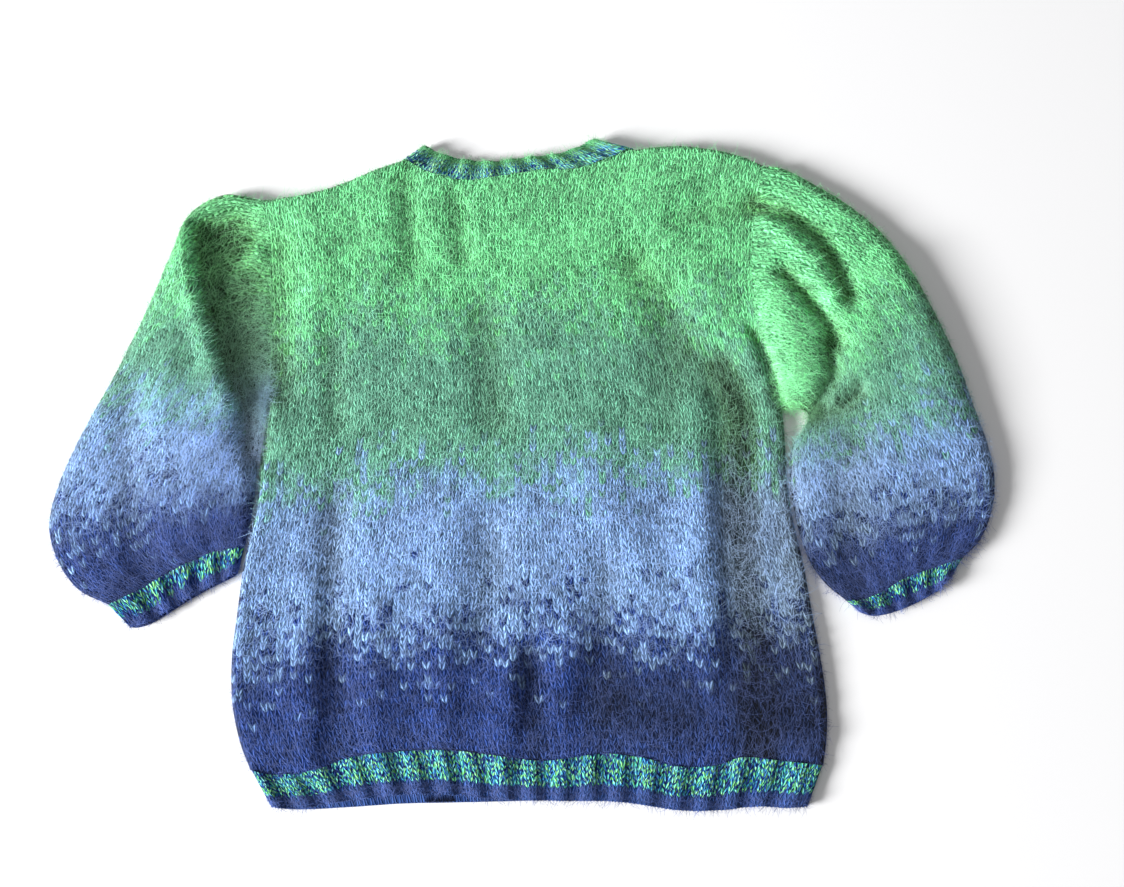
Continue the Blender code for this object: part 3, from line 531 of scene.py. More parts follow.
def stitch_places(tree):
    """Nodes for the column and row of a stitch, and how far across and along it a point lies."""
    uv = add_node(tree, "UVMap", uv_map="stitches")
    wander = add_node(tree, "TexNoise", {"Vector": uv, "Scale": UNEVEN_SCALE, "Detail": 3.0})
    centred = add_node(tree, "VectorMath", [wander.outputs["Color"], (0.5, 0.5, 0.5)],
                       operation="SUBTRACT")
    moved = add_node(tree, "VectorMath", [centred, (UNEVENNESS,) * 3, uv], operation="MULTIPLY_ADD")
    place = add_node(tree, "SeparateXYZ", [moved])
    share = add_node(tree, "Math", [place.outputs[0]], operation="FRACT")
    centred_share = add_node(tree, "Math", [share, 2.0, -1.0], operation="MULTIPLY_ADD")
    across = add_node(tree, "Math", [centred_share], operation="ABSOLUTE")
    slanted = add_node(tree, "Math", [across, -STITCH_SLANT, place.outputs[1]], operation="MULTIPLY_ADD")
    shades = add_node(tree, "UVMap", uv_map="shades")
    shade = add_node(tree, "SeparateXYZ", [shades])
    places = {
        "uv": uv,
        # the painted shade of furrows and rolled edges
        "painted_shade": shade.outputs[0],
        "colour_row": shade.outputs[1],
        "side": place.outputs[0],
        "column": add_node(tree, "Math", [place.outputs[0]], operation="FLOOR"),
        "row": add_node(tree, "Math", [slanted], operation="FLOOR"),
        "across": across,
        "slanted": slanted,
        "along": add_node(tree, "Math", [slanted], operation="FRACT"),
    }
    places["combed"] = combed_fibres(tree, places)
    return places


def random_by(tree, first, second):
    """Nodes that give each pair of whole numbers its own random number."""
    pair = add_node(tree, "CombineXYZ", [first, second])
    return add_node(tree, "TexWhiteNoise", {"Vector": pair}, noise_dimensions="2D")


# %% [markdown]
# ## Colour changes
# Navy gives way to blue in scattered single stitches, blue to dusty green in long spikes up and down the
# columns, and dusty green to bright green in soft patches. One function makes all three: it moves the
# row at which the colour changes by three random amounts, one for each stitch, one for each short run of
# a column and one that varies slowly across the cloth.

# %% Colours by row
NAVY = "#355099"
BLUE = "#9AC2FA"
DUSTY_GREEN = "#7CC6A8"
BRIGHT_GREEN = "#88F2A8"
RUN_ROWS = 5                # length of a spike, in rows
BROAD_SCALE = 0.10          # of the slow change, in parts of a stitch
STITCH_SHADES = 0.80        # how much the brightness differs from leg to leg
CLOUD_SHADES = 0.40         # and slowly across the cloth
FRAY = 5.0                  # how far fibres carry a colour over the change, in rows
COMB_TURNS = (0.45, -0.35)  # radians by which the two sets of brushed fibres lean
COMB_STRETCH = (4.6, 1.0, 1.0)

# Each line: the row where the colour changes, the colour above it, how far that row moves by stitch, by run
# and slowly across the cloth, and within how many rows either way the change is made.
BODY_COLOURS = (
    (17.5, BLUE, 17.0, 8.0, 14.0, 1.6),
    (41.0, DUSTY_GREEN, 9.0, 8.0, 12.0, 2.0),
    (65.0, BRIGHT_GREEN, 14.0, 5.0, 18.0, 3.0),
)
SLEEVE_COLOURS = (
    (15.5, BLUE, 17.0, 8.0, 8.0, 1.6),
    (31.5, DUSTY_GREEN, 9.0, 8.0, 8.0, 2.0),
    (47.0, BRIGHT_GREEN, 12.0, 5.0, 10.0, 3.0),
)


# %% Nodes for the combed fibres
def combed_fibres(tree, places):
    """Bright and dark streaks of fibres that were brushed out of the yarn and cross one another."""
    streaks = []
    for turn in COMB_TURNS:
        turned = add_node(tree, "VectorRotate", {"Vector": places["uv"], "Angle": turn},
                          rotation_type="Z_AXIS")
        drawn = add_node(tree, "VectorMath", [turned, COMB_STRETCH], operation="MULTIPLY")
        streaks.append(add_node(tree, "TexNoise", {"Vector": drawn, "Scale": 1.0, "Detail": 3.0,
                                                   "Roughness": 0.6}))
    return add_node(tree, "Math", [streaks[0], streaks[1]], operation="MAXIMUM")


# %% Nodes for the colour of a stitch
def colour_by_row(tree, places, changes):
    """The colour of each stitch, from navy at the lowest row through the changes."""
    by_stitch = random_by(tree, places["column"], places["row"])
    by_column = add_node(tree, "TexWhiteNoise", {"W": places["column"]}, noise_dimensions="1D")
    run = add_node(tree, "Math", [places["row"], 1 / RUN_ROWS, by_column], operation="MULTIPLY_ADD")
    whole_run = add_node(tree, "Math", [run], operation="FLOOR")
    by_run = random_by(tree, places["column"], whole_run)
    broad = add_node(tree, "TexNoise", {"Vector": places["uv"], "Scale": BROAD_SCALE, "Detail": 3.0})
    colour = linear(NAVY)
    for level, above, stitch_range, run_range, broad_range, softness in changes:
        moved = add_node(tree, "Math", [places["combed"], FRAY, places["colour_row"]],
                         operation="MULTIPLY_ADD")
        for noise, reach in ((by_stitch, stitch_range), (by_run, run_range), (broad, broad_range)):
            moved = add_node(tree, "Math", [noise, reach, moved], operation="MULTIPLY_ADD")
        middle = level + (stitch_range + run_range + broad_range + FRAY) / 2
        share = add_node(tree, "MapRange", {"Value": moved, "From Min": middle - softness,
                                            "From Max": middle + softness})
        colour = add_node(tree, "Mix", {0: share, 6: colour, 7: linear(above)},
                          data_type="RGBA").outputs[2]
    legs = add_node(tree, "Math", [places["side"], 2.0], operation="MULTIPLY")
    leg = add_node(tree, "Math", [legs], operation="FLOOR")
    by_leg = random_by(tree, leg, places["row"])
    uneven = add_node(tree, "Math", [by_leg, STITCH_SHADES, 1 - STITCH_SHADES / 2],
                      operation="MULTIPLY_ADD")
    clouded = add_node(tree, "Math", [broad, CLOUD_SHADES, uneven], operation="MULTIPLY_ADD")
    shade = add_node(tree, "Math", [clouded, CLOUD_SHADES / 2], operation="SUBTRACT")
    return add_node(tree, "HueSaturation", {"Value": shade, "Color": colour})


# %% [markdown]
# ## From stitches to a surface
# The legs of a stitch stand proud and catch the light, and the gaps between them are dark. The same
# height drives both: it mixes a painted shade, a dark, richer version of the yarn's colour, into the
# gaps, and bumps the surface. Furrows and rolled edges get a painted shade too. Fine noise drawn out
# along the legs stands for the twist and the combed fibres.

# %% The knitted surface
PAINTED_GAP_SATURATION = 1.12       # the painted shade in the gaps is a little richer in colour
FELT_SCALE = 0.16           # of the patches that brushing has felted, in parts of a stitch
FELT_COVER = 0.40           # how much of the painted shade in the gaps the felted fibres hide there
FELT_EDGE = (0.45, 0.70)    # the noise at which a patch begins and is full
FIBRE_STRETCH = (5.0, 2.4, 3.7)
COMBED_WEIGHT = 1.5         # of the combed fibres beside those along the legs
FIBRE_RANGE = (1.0, 1.7)    # of both together
FIBRE_RELIEF = 0.35         # how high the fibres are, compared with the legs
LEG_TILT = 0.45             # how far a leg leans outwards over one row, in half stitches
LEG_CORE = 0.10             # half widths of a leg at its top and at its foot, in half stitches
LEG_FOOT = 0.40
BUMP_HEIGHT = 0.0014        # metres
PAINTED_FURROW_SHADE_TINT = (0.68, 0.58, 0.45, 1.0)   # painted shade in furrows and round rolled edges, yellowish
PAINTED_DEEP_SHADE_TINT = (0.26, 0.28, 0.27, 1.0)    # darker painted shade in the deepest furrows
PAINTED_DEEP_SHADE_START = 0.55                 # the darker painted shade begins at this share of the full depth
PAINTED_RIB_SHADE_TINT = (0.62, 0.70, 0.80, 1.0)      # painted shade between the ribs

# How bright the painted shade in the gaps between stitches is, how strong the sheen is, how dark and how
# bright single fibres get, and the colour of the painted shade in furrows and round rolled edges.
MOHAIR_FINISH = {"painted_gap_shade": 0.24, "sheen": 0.16, "darkest": 0.24, "brightest": 2.1, "painted_shade_tint": PAINTED_FURROW_SHADE_TINT}
RIB_FINISH = {"painted_gap_shade": 0.34, "sheen": 0.10, "darkest": 0.55, "brightest": 1.75, "painted_shade_tint": PAINTED_RIB_SHADE_TINT}


# %% Nodes for the height within a stitch, and for its fibres
def stitch_height(tree, places):
    """Height of the surface within a stitch, from 0 in the gaps to 1 on the legs."""
    middle = add_node(tree, "Math", [places["along"], LEG_TILT, 0.5 - LEG_TILT / 2],
                      operation="MULTIPLY_ADD")
    aside = add_node(tree, "Math", [places["across"], middle], operation="SUBTRACT")
    off_middle = add_node(tree, "Math", [aside], operation="ABSOLUTE")
    leg = add_node(tree, "MapRange", {"Value": off_middle, "From Min": LEG_CORE, "From Max": LEG_FOOT,
                                      "To Min": 1.0, "To Max": 0.0}, interpolation_type="SMOOTHSTEP")
    turn = add_node(tree, "Math", [places["along"], math.pi], operation="MULTIPLY")
    wave = add_node(tree, "Math", [turn], operation="SINE")
    row_gap = add_node(tree, "Math", [wave, ROW_GAP_POWER], operation="POWER")
    return add_node(tree, "Math", [leg, row_gap], operation="MULTIPLY")


def fibre_noise(tree, places):
    """Noise drawn out along the legs, with its own draw in each column."""
    grain = add_node(tree, "CombineXYZ", [places["across"], places["slanted"], places["column"]])
    stretched = add_node(tree, "VectorMath", [grain, FIBRE_STRETCH], operation="MULTIPLY")
    return add_node(tree, "TexNoise", {"Vector": stretched, "Scale": 1.0, "Detail": 3.0,
                                       "Roughness": 0.65})


# %% Nodes for the surface of a knit
def finish_knit(material, places, colour, painted_gap_shade, sheen, darkest, brightest, painted_shade_tint):
    """Joins colour, painted shade, the stitches' height and the fibres into the surface of a knit."""
    tree = material.node_tree
    height = stitch_height(tree, places)
    fibres = fibre_noise(tree, places)
    # painted shade: a yellowish colour by furrow depth and edge roll, and a dark one in the deepest furrows
    shallow = add_node(tree, "MapRange", {"Value": places["painted_shade"], "From Max": PAINTED_DEEP_SHADE_START})
    deep = add_node(tree, "MapRange", {"Value": places["painted_shade"], "From Min": PAINTED_DEEP_SHADE_START})
    painted_shallow_shade = add_node(tree, "Mix", {0: shallow, 6: colour, 7: painted_shade_tint}, data_type="RGBA",
                        blend_type="MULTIPLY")
    painted_shaded = add_node(tree, "Mix", {0: deep, 6: painted_shallow_shade.outputs[2], 7: PAINTED_DEEP_SHADE_TINT}, data_type="RGBA",
                      blend_type="MULTIPLY")
    both = add_node(tree, "Math", [places["combed"], COMBED_WEIGHT, fibres], operation="MULTIPLY_ADD")
    fibre_shade = add_node(tree, "MapRange", {"Value": both, "From Min": FIBRE_RANGE[0],
                                              "From Max": FIBRE_RANGE[1], "To Min": darkest,
                                              "To Max": brightest})
    mottled = add_node(tree, "HueSaturation", {"Value": fibre_shade, "Color": painted_shaded.outputs[2]})
    # painted shade in the gaps between the legs; felted patches hide some of it
    gaps = add_node(tree, "HueSaturation", {"Saturation": PAINTED_GAP_SATURATION, "Value": painted_gap_shade,
                                            "Color": mottled})
    patches = add_node(tree, "TexNoise", {"Vector": places["uv"], "Scale": FELT_SCALE, "Detail": 2.0})
    felt = add_node(tree, "MapRange", {"Value": patches, "From Min": FELT_EDGE[0],
                                       "From Max": FELT_EDGE[1], "To Max": FELT_COVER})
    covered = add_node(tree, "Math", [height, felt], operation="MAXIMUM")
    with_painted_gaps = add_node(tree, "Mix", {0: covered, 6: gaps, 7: mottled}, data_type="RGBA")
    relief = add_node(tree, "Math", [fibres, FIBRE_RELIEF, height], operation="MULTIPLY_ADD")
    bump = add_node(tree, "Bump", {"Strength": 0.8, "Distance": BUMP_HEIGHT, "Height": relief})
    shader = add_node(tree, "BsdfPrincipled", {
        "Base Color": with_painted_gaps.outputs[2],
        "Roughness": 0.95,
        "Specular IOR Level": 0.15,
        "Sheen Weight": sheen,
        "Sheen Roughness": 0.5,
        "Normal": bump,
    })
    add_node(tree, "OutputMaterial", {"Surface": shader})
    return material


# %% The mohair
def new_material(name):
    """A material whose node tree is still empty."""
    material = bpy.data.materials.new(name)
    material.use_nodes = True
    material.node_tree.nodes.clear()
    return material


def mohair_knit(name, changes):
    """Brushed mohair in stocking stitch: matt, soft, with a pale bloom. Its colour changes by the row."""
    material = new_material(name)
    tree = material.node_tree
    places = stitch_places(tree)
    colour = colour_by_row(tree, places, changes)
    return finish_knit(material, places, colour, **MOHAIR_FINISH)


# %% [markdown]
# ## The marled stripe
# The ribbed stripe is knitted from a smoother yarn whose plies are green, aqua, blue and navy, so every leg
# of every stitch shows several colours. Beyond the stripe the rib goes on in the plain edge yarn. A colour
# ramp with hard steps picks a ply's colour by a random number for each fleck.

# %% Marled ribs with a plain edge
MARL = (
    "#1B3272", "#56A6E0", "#88F8D4", "#22408A", "#3470C0", "#8CEE8C", "#A2F8EA", "#264A92",
    "#56B2DA", "#70E6C0", "#1C3880", "#A4F4AA",
)
NECK_MARL = (
    "#325498", "#78C2EC", "#98FFE0", "#4684CC", "#98F49C", "#B0FCF0", "#38609E", "#84E4D2",
    "#8CF6BC", "#4AA8C8", "#B0FAB4",
)
FLECKS_ACROSS = 6           # in a stitch
FLECKS_ALONG = 2.6          # in a row
EDGE_STRAY = 0.35           # rows by which the plain edge begins higher or lower from stitch to stitch
# painted light: the hem's navy edge is painted lighter than the cuffs' navy one
HEM_EDGE_PAINTED_LIGHT = "#4563A6"
NECK_EDGE = "#6CCC88"


def marled_rib(name, plies, edge_colour, edge_row, edge_above):
    """Ribbing in marled wool. Its plain edge lies above or below edge_row."""
    material = new_material(name)
    tree = material.node_tree
    places = stitch_places(tree)
    legs = add_node(tree, "Math", [places["side"], FLECKS_ACROSS], operation="MULTIPLY")
    leg = add_node(tree, "Math", [legs], operation="FLOOR")
    flecks = add_node(tree, "Math", [places["slanted"], FLECKS_ALONG], operation="MULTIPLY")
    fleck = add_node(tree, "Math", [flecks], operation="FLOOR")
    by_leg = random_by(tree, leg, fleck)
    marl = add_node(tree, "ValToRGB", [by_leg])
    marl.color_ramp.interpolation = "CONSTANT"
    while len(marl.color_ramp.elements) < len(plies):
        marl.color_ramp.elements.new(1.0)
    for number, (element, colour) in enumerate(zip(marl.color_ramp.elements, plies)):
        element.position = number / len(plies)
        element.color = linear(colour)
    by_stitch = random_by(tree, places["column"], places["row"])
    moved = add_node(tree, "Math", [by_stitch, EDGE_STRAY, places["row"]], operation="MULTIPLY_ADD")
    above = add_node(tree, "Math", [moved, edge_row], operation="GREATER_THAN")
    edge_shade = add_node(tree, "MapRange", {"Value": by_stitch, "To Min": 0.8, "To Max": 1.2})
    edge = add_node(tree, "HueSaturation", {"Value": edge_shade, "Color": linear(edge_colour)})
    below, beyond = (marl, edge) if edge_above else (edge, marl)
    colour = add_node(tree, "Mix", {0: above, 6: below, 7: beyond}, data_type="RGBA").outputs[2]
    return finish_knit(material, places, colour, **RIB_FINISH)


# %% [markdown]
# ## Loose hairs
# A hair has about the colour of the stitch that it grows from, a little paler because light shines through
# it. Where the colour changes, hairs of many stitches lie together, so their colours change more slowly.

# %% Hairs in the colours of the knitting
HAIR_PALENESS = 0.025       # share of the pale tone in their colour
HAIR_BRIGHTNESS = 1.10      # compared with the yarn
HAIR_SOFTNESS = 6.0         # rows over which their colour changes
PAINTED_HAIR_SHADE = 0.7           # how much of the painted shade of the cloth reaches the hairs above it
HAIR_SATURATION = 0.92      # compared with the yarn
PALE = "#F2F7F4"


def loose_hair(name, changes):
    """Loose mohair fibres: a little pale and softly shining."""
    material = new_material(name)
    tree = material.node_tree
    places = stitch_places(tree)
    changes = [(level, above, 0.0, 0.0, broad_range, HAIR_SOFTNESS)
               for level, above, _, _, broad_range, _ in changes]
    bright = add_node(tree, "HueSaturation", {"Saturation": HAIR_SATURATION, "Value": HAIR_BRIGHTNESS,
                                              "Color": colour_by_row(tree, places, changes)})
    pale = add_node(tree, "Mix", {0: HAIR_PALENESS, 6: bright, 7: linear(PALE)}, data_type="RGBA")
    # painted shade from the cloth where the hair is rooted
    painted_hair_shade_share = add_node(tree, "Math", [places["painted_shade"], PAINTED_HAIR_SHADE], operation="MULTIPLY")
    painted_shaded = add_node(tree, "Mix", {0: painted_hair_shade_share, 6: pale.outputs[2], 7: PAINTED_FURROW_SHADE_TINT}, data_type="RGBA",
                      blend_type="MULTIPLY")
    shader = add_node(tree, "BsdfPrincipled", {
        "Base Color": painted_shaded.outputs[2],
        "Roughness": 0.6,
        "Specular IOR Level": 0.15,
        "Sheen Weight": 0.15,
    })
    add_node(tree, "OutputMaterial", {"Surface": shader})
    return material


# %% The materials
body_knit = mohair_knit("brushed_mohair_body", BODY_COLOURS)
sleeve_knit = mohair_knit("brushed_mohair_sleeves", SLEEVE_COLOURS)
hem_marl = marled_rib("marled_rib_hem", MARL, HEM_EDGE_PAINTED_LIGHT, 1.6, False)
cuff_marl = marled_rib("marled_rib_cuffs", MARL, NAVY, 1.1, False)
neck_marl = marled_rib("marled_rib_neck", NECK_MARL, NECK_EDGE, 2.75, True)
print("materials:", [m.name for m in bpy.data.materials])

# %% [markdown]
# ## Back and front panels
# A panel is knitted in straight rows, and the shoulders and neck cut across them. So the grid's rows run
# from side to side, follow the wavy hem at the bottom and straighten higher up, and every point beyond the
# top outline is drawn in to it. Faces that lie wholly beyond are left out.

# %% Grid of a body panel
COLUMNS = 76                # stitches across the body
BODY_ROWS = 94
TOP_ROW_Y = 0.3225          # where the highest row lies
ROW_SAG = 0.016             # how much lower a row lies at the sides, halfway up
HEM_FADE = 3                # how soon the rows lose the waves of the hem
BLOUSE_RISE = 0.0042        # the body puffs out above the gathered hem
BLOUSE_PLACE = 0.024        # this far above its seam
BLOUSE_REACH = 0.017
BODY_LOFT = 0.0055          # air between the layers, which the furrows press out
LOFT_START = 2              # it comes in over this many rows above this one
LOFT_ROWS = 8
COLOUR_TILT = 3.0           # rows by which the colours lie higher at the right side
COLUMN_START = 0.25         # so that a leg runs along each side, and no groove


def panel_outline(neck):
    """The top outline of a panel: shoulder, neck and shoulder."""
    parts = [Curve(rows).points for rows in (LEFT_SHOULDER, neck, RIGHT_SHOULDER)]
    return np.vstack([parts[0], parts[1][1:], parts[2][1:]])


def body_panel(neck, cells_across, cells_along):
    """Plan of a panel, its columns and rows, its roll and rise at the sides, and what lies beyond it."""
    left = Curve(LEFT_EDGE)
    right = Curve(RIGHT_EDGE)
    seam = Curve(HEM_SEAM)
    u, v = np.meshgrid(np.linspace(0, 1, COLUMNS * cells_across + 1),
                       np.linspace(0, 1, BODY_ROWS * cells_along + 1))
    seam_x = HEM_SEAM[0][0] + (HEM_SEAM[-1][0] - HEM_SEAM[0][0]) * u
    seam_y = seam.at_x(seam_x)[..., 1]
    level_y = LEFT_EDGE[0][1] + (RIGHT_EDGE[0][1] - LEFT_EDGE[0][1]) * u
    y = level_y + (TOP_ROW_Y - level_y) * v + (seam_y - level_y) * (1 - v) ** HEM_FADE
    y -= ROW_SAG * (2 * u - 1) ** 2 * np.sin(np.pi * v)
    x = left.at_y(y)[..., 0] * (1 - u) + right.at_y(y)[..., 0] * u
    x = np.where(v == 0, seam_x, x)
    top = panel_outline(neck)
    top_y = np.interp(x, top[:, 0], top[:, 1])
    beyond = y > top_y
    plan = np.stack([x, np.minimum(y, top_y)], axis=-1)

    inward = np.zeros_like(plan)
    rise = BLOUSE_RISE * np.exp(-((y - seam_y - BLOUSE_PLACE) / BLOUSE_REACH) ** 2)
    for side, edge, underarm_y in ((1, left, LEFT_UNDERARM_Y), (-1, right, RIGHT_UNDERARM_Y)):
        distance = np.abs(x - edge.at_y(plan[..., 1])[..., 0])
        sewn = rolled(plan[..., 1] - underarm_y, EDGE_RADIUS)
        inward[..., 0] += side * sewn * rolled(distance, EDGE_RADIUS)
        rise = np.maximum(rise, sewn * roll_rise(distance))
    distance = top_y - plan[..., 1]
    sewn = rolled(np.minimum(x - NECK_LEFT_X, NECK_RIGHT_X - x), EDGE_RADIUS)
    inward[..., 1] -= sewn * rolled(distance, EDGE_RADIUS)
    rise = np.maximum(rise, sewn * roll_rise(distance))
    stitches = np.stack([u * COLUMNS + COLUMN_START, v * BODY_ROWS], axis=-1)
    return plan, stitches, inward, rise, beyond


# %% The back, which faces up
plan, stitches, inward, rise, back_beyond = body_panel(BACK_NECK, CELLS_ACROSS, CELLS_ALONG)
relief = crease_relief(plan)
loft = BODY_LOFT * np.clip((stitches[..., 1] - LOFT_START) / LOFT_ROWS, 0, 1)
points = surface(plan, inward, EDGE_MIDDLE + SEAM_GAP / 2, lifted(relief + loft) + rise)
colour_rows = stitches[..., 1] - COLOUR_TILT * stitches[..., 0] / COLUMNS
# the first value of shades is the painted shade of furrows and rolled edges
shades = np.stack([painted_shade_share(relief, inward), colour_rows], axis=-1)
add_sheet("back_panel", points, stitches, body_knit, shades, dropped=back_beyond)

# %% The front, which lies on the floor
plan, stitches, inward, _, beyond = body_panel(FRONT_NECK, HIDDEN_CELLS, 1)
points = surface(plan, inward, EDGE_MIDDLE - SEAM_GAP / 2)
add_sheet("front_panel", points, stitches, body_knit, dropped=beyond, turned=True, smooth=True)

# %% [markdown]
# ## Balloon sleeves
# A sleeve is a tube that lies flat: rings start at the armhole, fan out round the underarm and run down to
# the cuff. Its middle is full of air between the layers, so it stands higher and rolls more widely there.
# The knitting was cast on at the cuff, so the rows are counted from there.

# %% The shape of a sleeve
SLEEVE_COLUMNS = 29         # stitches across each layer
SLEEVE_ROWS = 72
ROW_PITCH = 0.0062          # metres from one row of the sleeve to the next
SLEEVE_PUFF = 0.0125        # how high the air inside lifts the upper layer
SLEEVE_MIDDLE = 0.0078      # as EDGE_MIDDLE and EDGE_RADIUS, where the sleeve is full
SLEEVE_RADIUS = 0.017
PUFF_START = 0.24           # share of the sleeve's length by which it is full
PUFF_END_POWER = 6          # how late it gathers in towards the cuff
PUFF_SIDE_POWER = 0.35      # how square the balloon's cross-section is
LEFT_UNDERARM_EASE = 1.6    # how slowly the rings of each sleeve leave the underarm
RIGHT_UNDERARM_EASE = 2.0
SEAM_FADE = 3               # how soon the rings lose the bends of the armhole and the cuff seam
CUFF_EASE = 6               # how late the left sleeve's inner edge leaves the body's side for the cuff
GATHERS = 7                 # small gathers across the sleeve, above the cuff
GATHER_HEIGHT = 0.0016
GATHER_REACH = 0.10         # how far up they go, as a share of the sleeve's length
LEFT_COLOUR_DROP = 45       # at the left underarm the colours come from this many rows lower
RIGHT_COLOUR_RISE = 7.5     # and at the outer side of the right sleeve from this many rows higher
RISE_EASE = 1.5             # above 1 the most of that is below the middle of the sleeve


# %% A sleeve, both layers in one grid
def add_sleeve(name, armhole, inner_edge, outer_edge, cuff_seam, colour_lift, turned):
    """A sleeve between its four edges. colour_lift gives the rows by which its colours are moved."""
    rings = np.linspace(0, 1, SLEEVE_ROWS * CELLS_ALONG + 1)
    fullness = np.tanh(2 * rings / PUFF_START) * np.sqrt(1 - rings ** PUFF_END_POWER)
    middle = (EDGE_MIDDLE + (SLEEVE_MIDDLE - EDGE_MIDDLE) * fullness)[:, None]
    radius = (EDGE_RADIUS + (SLEEVE_RADIUS - EDGE_RADIUS) * fullness)[:, None]
    width = np.linalg.norm(outer_edge(rings) - inner_edge(rings), axis=-1)[:, None]
    layers = []
    painted_shades_by_layer = []
    lifts = []
    for cells, upper in LAYERS:
        v, u = np.meshgrid(np.linspace(0, 1, SLEEVE_COLUMNS * cells + 1), rings)
        lifts.append(colour_lift(u, v))
        plan = patch(inner_edge, outer_edge, armhole, cuff_seam, u, v, SEAM_FADE)
        crown = None
        if upper:
            puff = SLEEVE_PUFF * fullness[:, None] * np.sin(np.pi * v) ** PUFF_SIDE_POWER
            puff += BODY_LOFT * (1 - fullness[:, None]) * (u < 0.5)
            gathers = np.cos(2 * np.pi * GATHERS * v) * np.exp(-((1 - u) / GATHER_REACH) ** 2)
            puff += GATHER_HEIGHT * (1 + gathers) * fullness[:, None]
            relief = crease_relief(plan)
            crown = lifted(relief + puff)
        layer, inward = lay_tube(plan, outer_edge(u) - inner_edge(u), v * width, (1 - v) * width,
                                 crown, middle, radius)
        layers.append(layer)
        # painted shade of the upper layer's furrows and rolled edges; the layer on the floor gets none
        painted_shades_by_layer.append(painted_shade_share(relief, inward) if upper else np.zeros_like(v))
    points, columns = join_layers(layers, SLEEVE_COLUMNS)
    # the painted shade of both layers, joined as the grid is
    depth = np.concatenate([painted_shades_by_layer[0], painted_shades_by_layer[1][:, -2::-1]], axis=1)
    depth[:, -1] = depth[:, 0]
    lift = np.concatenate([lifts[0], lifts[1][:, -2::-1]], axis=1)
    shades = np.stack([depth, (1 - rings)[:, None] * SLEEVE_ROWS + lift], axis=-1)
    steps = np.linalg.norm(np.diff(points[..., :2], axis=0), axis=-1)
    from_cuff = np.vstack([np.cumsum(steps[::-1], axis=0)[::-1], np.zeros((1, points.shape[1]))])
    rows = np.hstack([from_cuff, from_cuff[:, :1]]) / ROW_PITCH
    stitches = np.stack([columns + np.zeros_like(rows), rows], axis=-1)
    add_sheet(name, points, stitches, sleeve_knit, shades, closed=True, turned=turned)


# %% The wearer's left sleeve
side = Curve(LEFT_EDGE)
left_outer = Curve(LEFT_SLEEVE_OUTER)
apart = np.array([SEAM_GAP, 0])
beside = np.array([SIDE_GAP, 0])
cuff_y = LEFT_CUFF_SEAM[0][1]
to_cuff = LEFT_CUFF_SEAM[0] - (side.at_y(np.array(cuff_y)) - beside)


def left_armhole(v):
    return side.at_y(LEFT_UNDERARM_Y + (LEFT_EDGE[-1][1] - LEFT_UNDERARM_Y) * v) - mix(beside, apart, v)


def left_inner(u):
    run = side.at_y(LEFT_UNDERARM_Y + (cuff_y - LEFT_UNDERARM_Y) * u ** LEFT_UNDERARM_EASE) - beside
    return run + to_cuff * (u ** CUFF_EASE)[..., None]


def left_outside(u):
    return left_outer.at(u) - apart * (1 - u)[..., None]


def left_colour_lift(u, v):
    """The colours run level across this sleeve, so towards the underarm they come from lower rows."""
    return -LEFT_COLOUR_DROP * (1 - v) * (1 - u) ** 2


add_sleeve("sleeve_left", left_armhole, left_inner, left_outside, Curve(LEFT_CUFF_SEAM).at,
           left_colour_lift, False)

# %% The wearer's right sleeve
right_side = Curve(RIGHT_EDGE)
right_outer = Curve(RIGHT_SLEEVE_OUTER)
right_inside = Curve(RIGHT_SLEEVE_INNER)
right_beside = RIGHT_SLEEVE_INNER[0] - right_side.at_y(np.array(RIGHT_UNDERARM_Y))


def right_armhole(v):
    place = right_side.at_y(RIGHT_UNDERARM_Y + (RIGHT_EDGE[-1][1] - RIGHT_UNDERARM_Y) * v)
    return place + mix(right_beside, apart, v)


def right_inner(u):
    return right_inside.at(u ** RIGHT_UNDERARM_EASE)


def right_outside(u):
    return right_outer.at(u) + apart * (1 - u)[..., None]


def right_colour_lift(u, v):
    """The outer side of this sleeve is green further down."""
    return RIGHT_COLOUR_RISE * np.sin(np.pi * u ** RISE_EASE) * (1 - (1 - v) ** 2)


add_sleeve("sleeve_right", right_armhole, right_inner, right_outside, Curve(RIGHT_CUFF_SEAM).at,
           right_colour_lift, True)

# %% [markdown]
# ## Ribbed hem, cuffs and neckband
# Two stitches knitted and two purled make a rib: pairs of columns stand proud and pairs sink. Each band
# starts at its seam and ends in a free edge, where the cloth's own thickness shows, so the last row is
# turned in over the edge and back inside.

# %% Ribs and turned edges
RIB_RISE = 0.0024           # of the raised ribs above the sunk ones
PAINTED_SUNK_SHADE = 0.55           # painted shade in the sunk columns between two ribs
RIB_STITCHES = 4            # two raised and two sunk
RIB_SQUARENESS = 1.6        # how steep the ribs' sides are
TURN_ANGLES = np.radians([30, 60, 90, 120, 150, 180])
TURNED_IN = 0.010           # how far the edge goes back inside
HEM_BAND_ROWS = 7
CUFF_STITCHES = 20          # across each layer
CUFF_BAND_ROWS = 4
NECK_STITCHES = 34          # across the back of the neckband
NECK_FRONT_STITCHES = 48
NECK_BAND_ROWS = 4
BAND_CELLS = 4              # along a stitch


def rib_wave(columns):
    """How high the rib stands, from 0 to 1."""
    wave = np.tanh(RIB_SQUARENESS * np.sin(2 * np.pi * columns / RIB_STITCHES))
    return 0.5 * (1 + wave / np.tanh(RIB_SQUARENESS))


def painted_rib_shades(stitches):
    """The sunk columns of a rib get a painted shade."""
    return np.stack([PAINTED_SUNK_SHADE * (1 - rib_wave(stitches[..., 0])) ** 2, stitches[..., 1]], axis=-1)


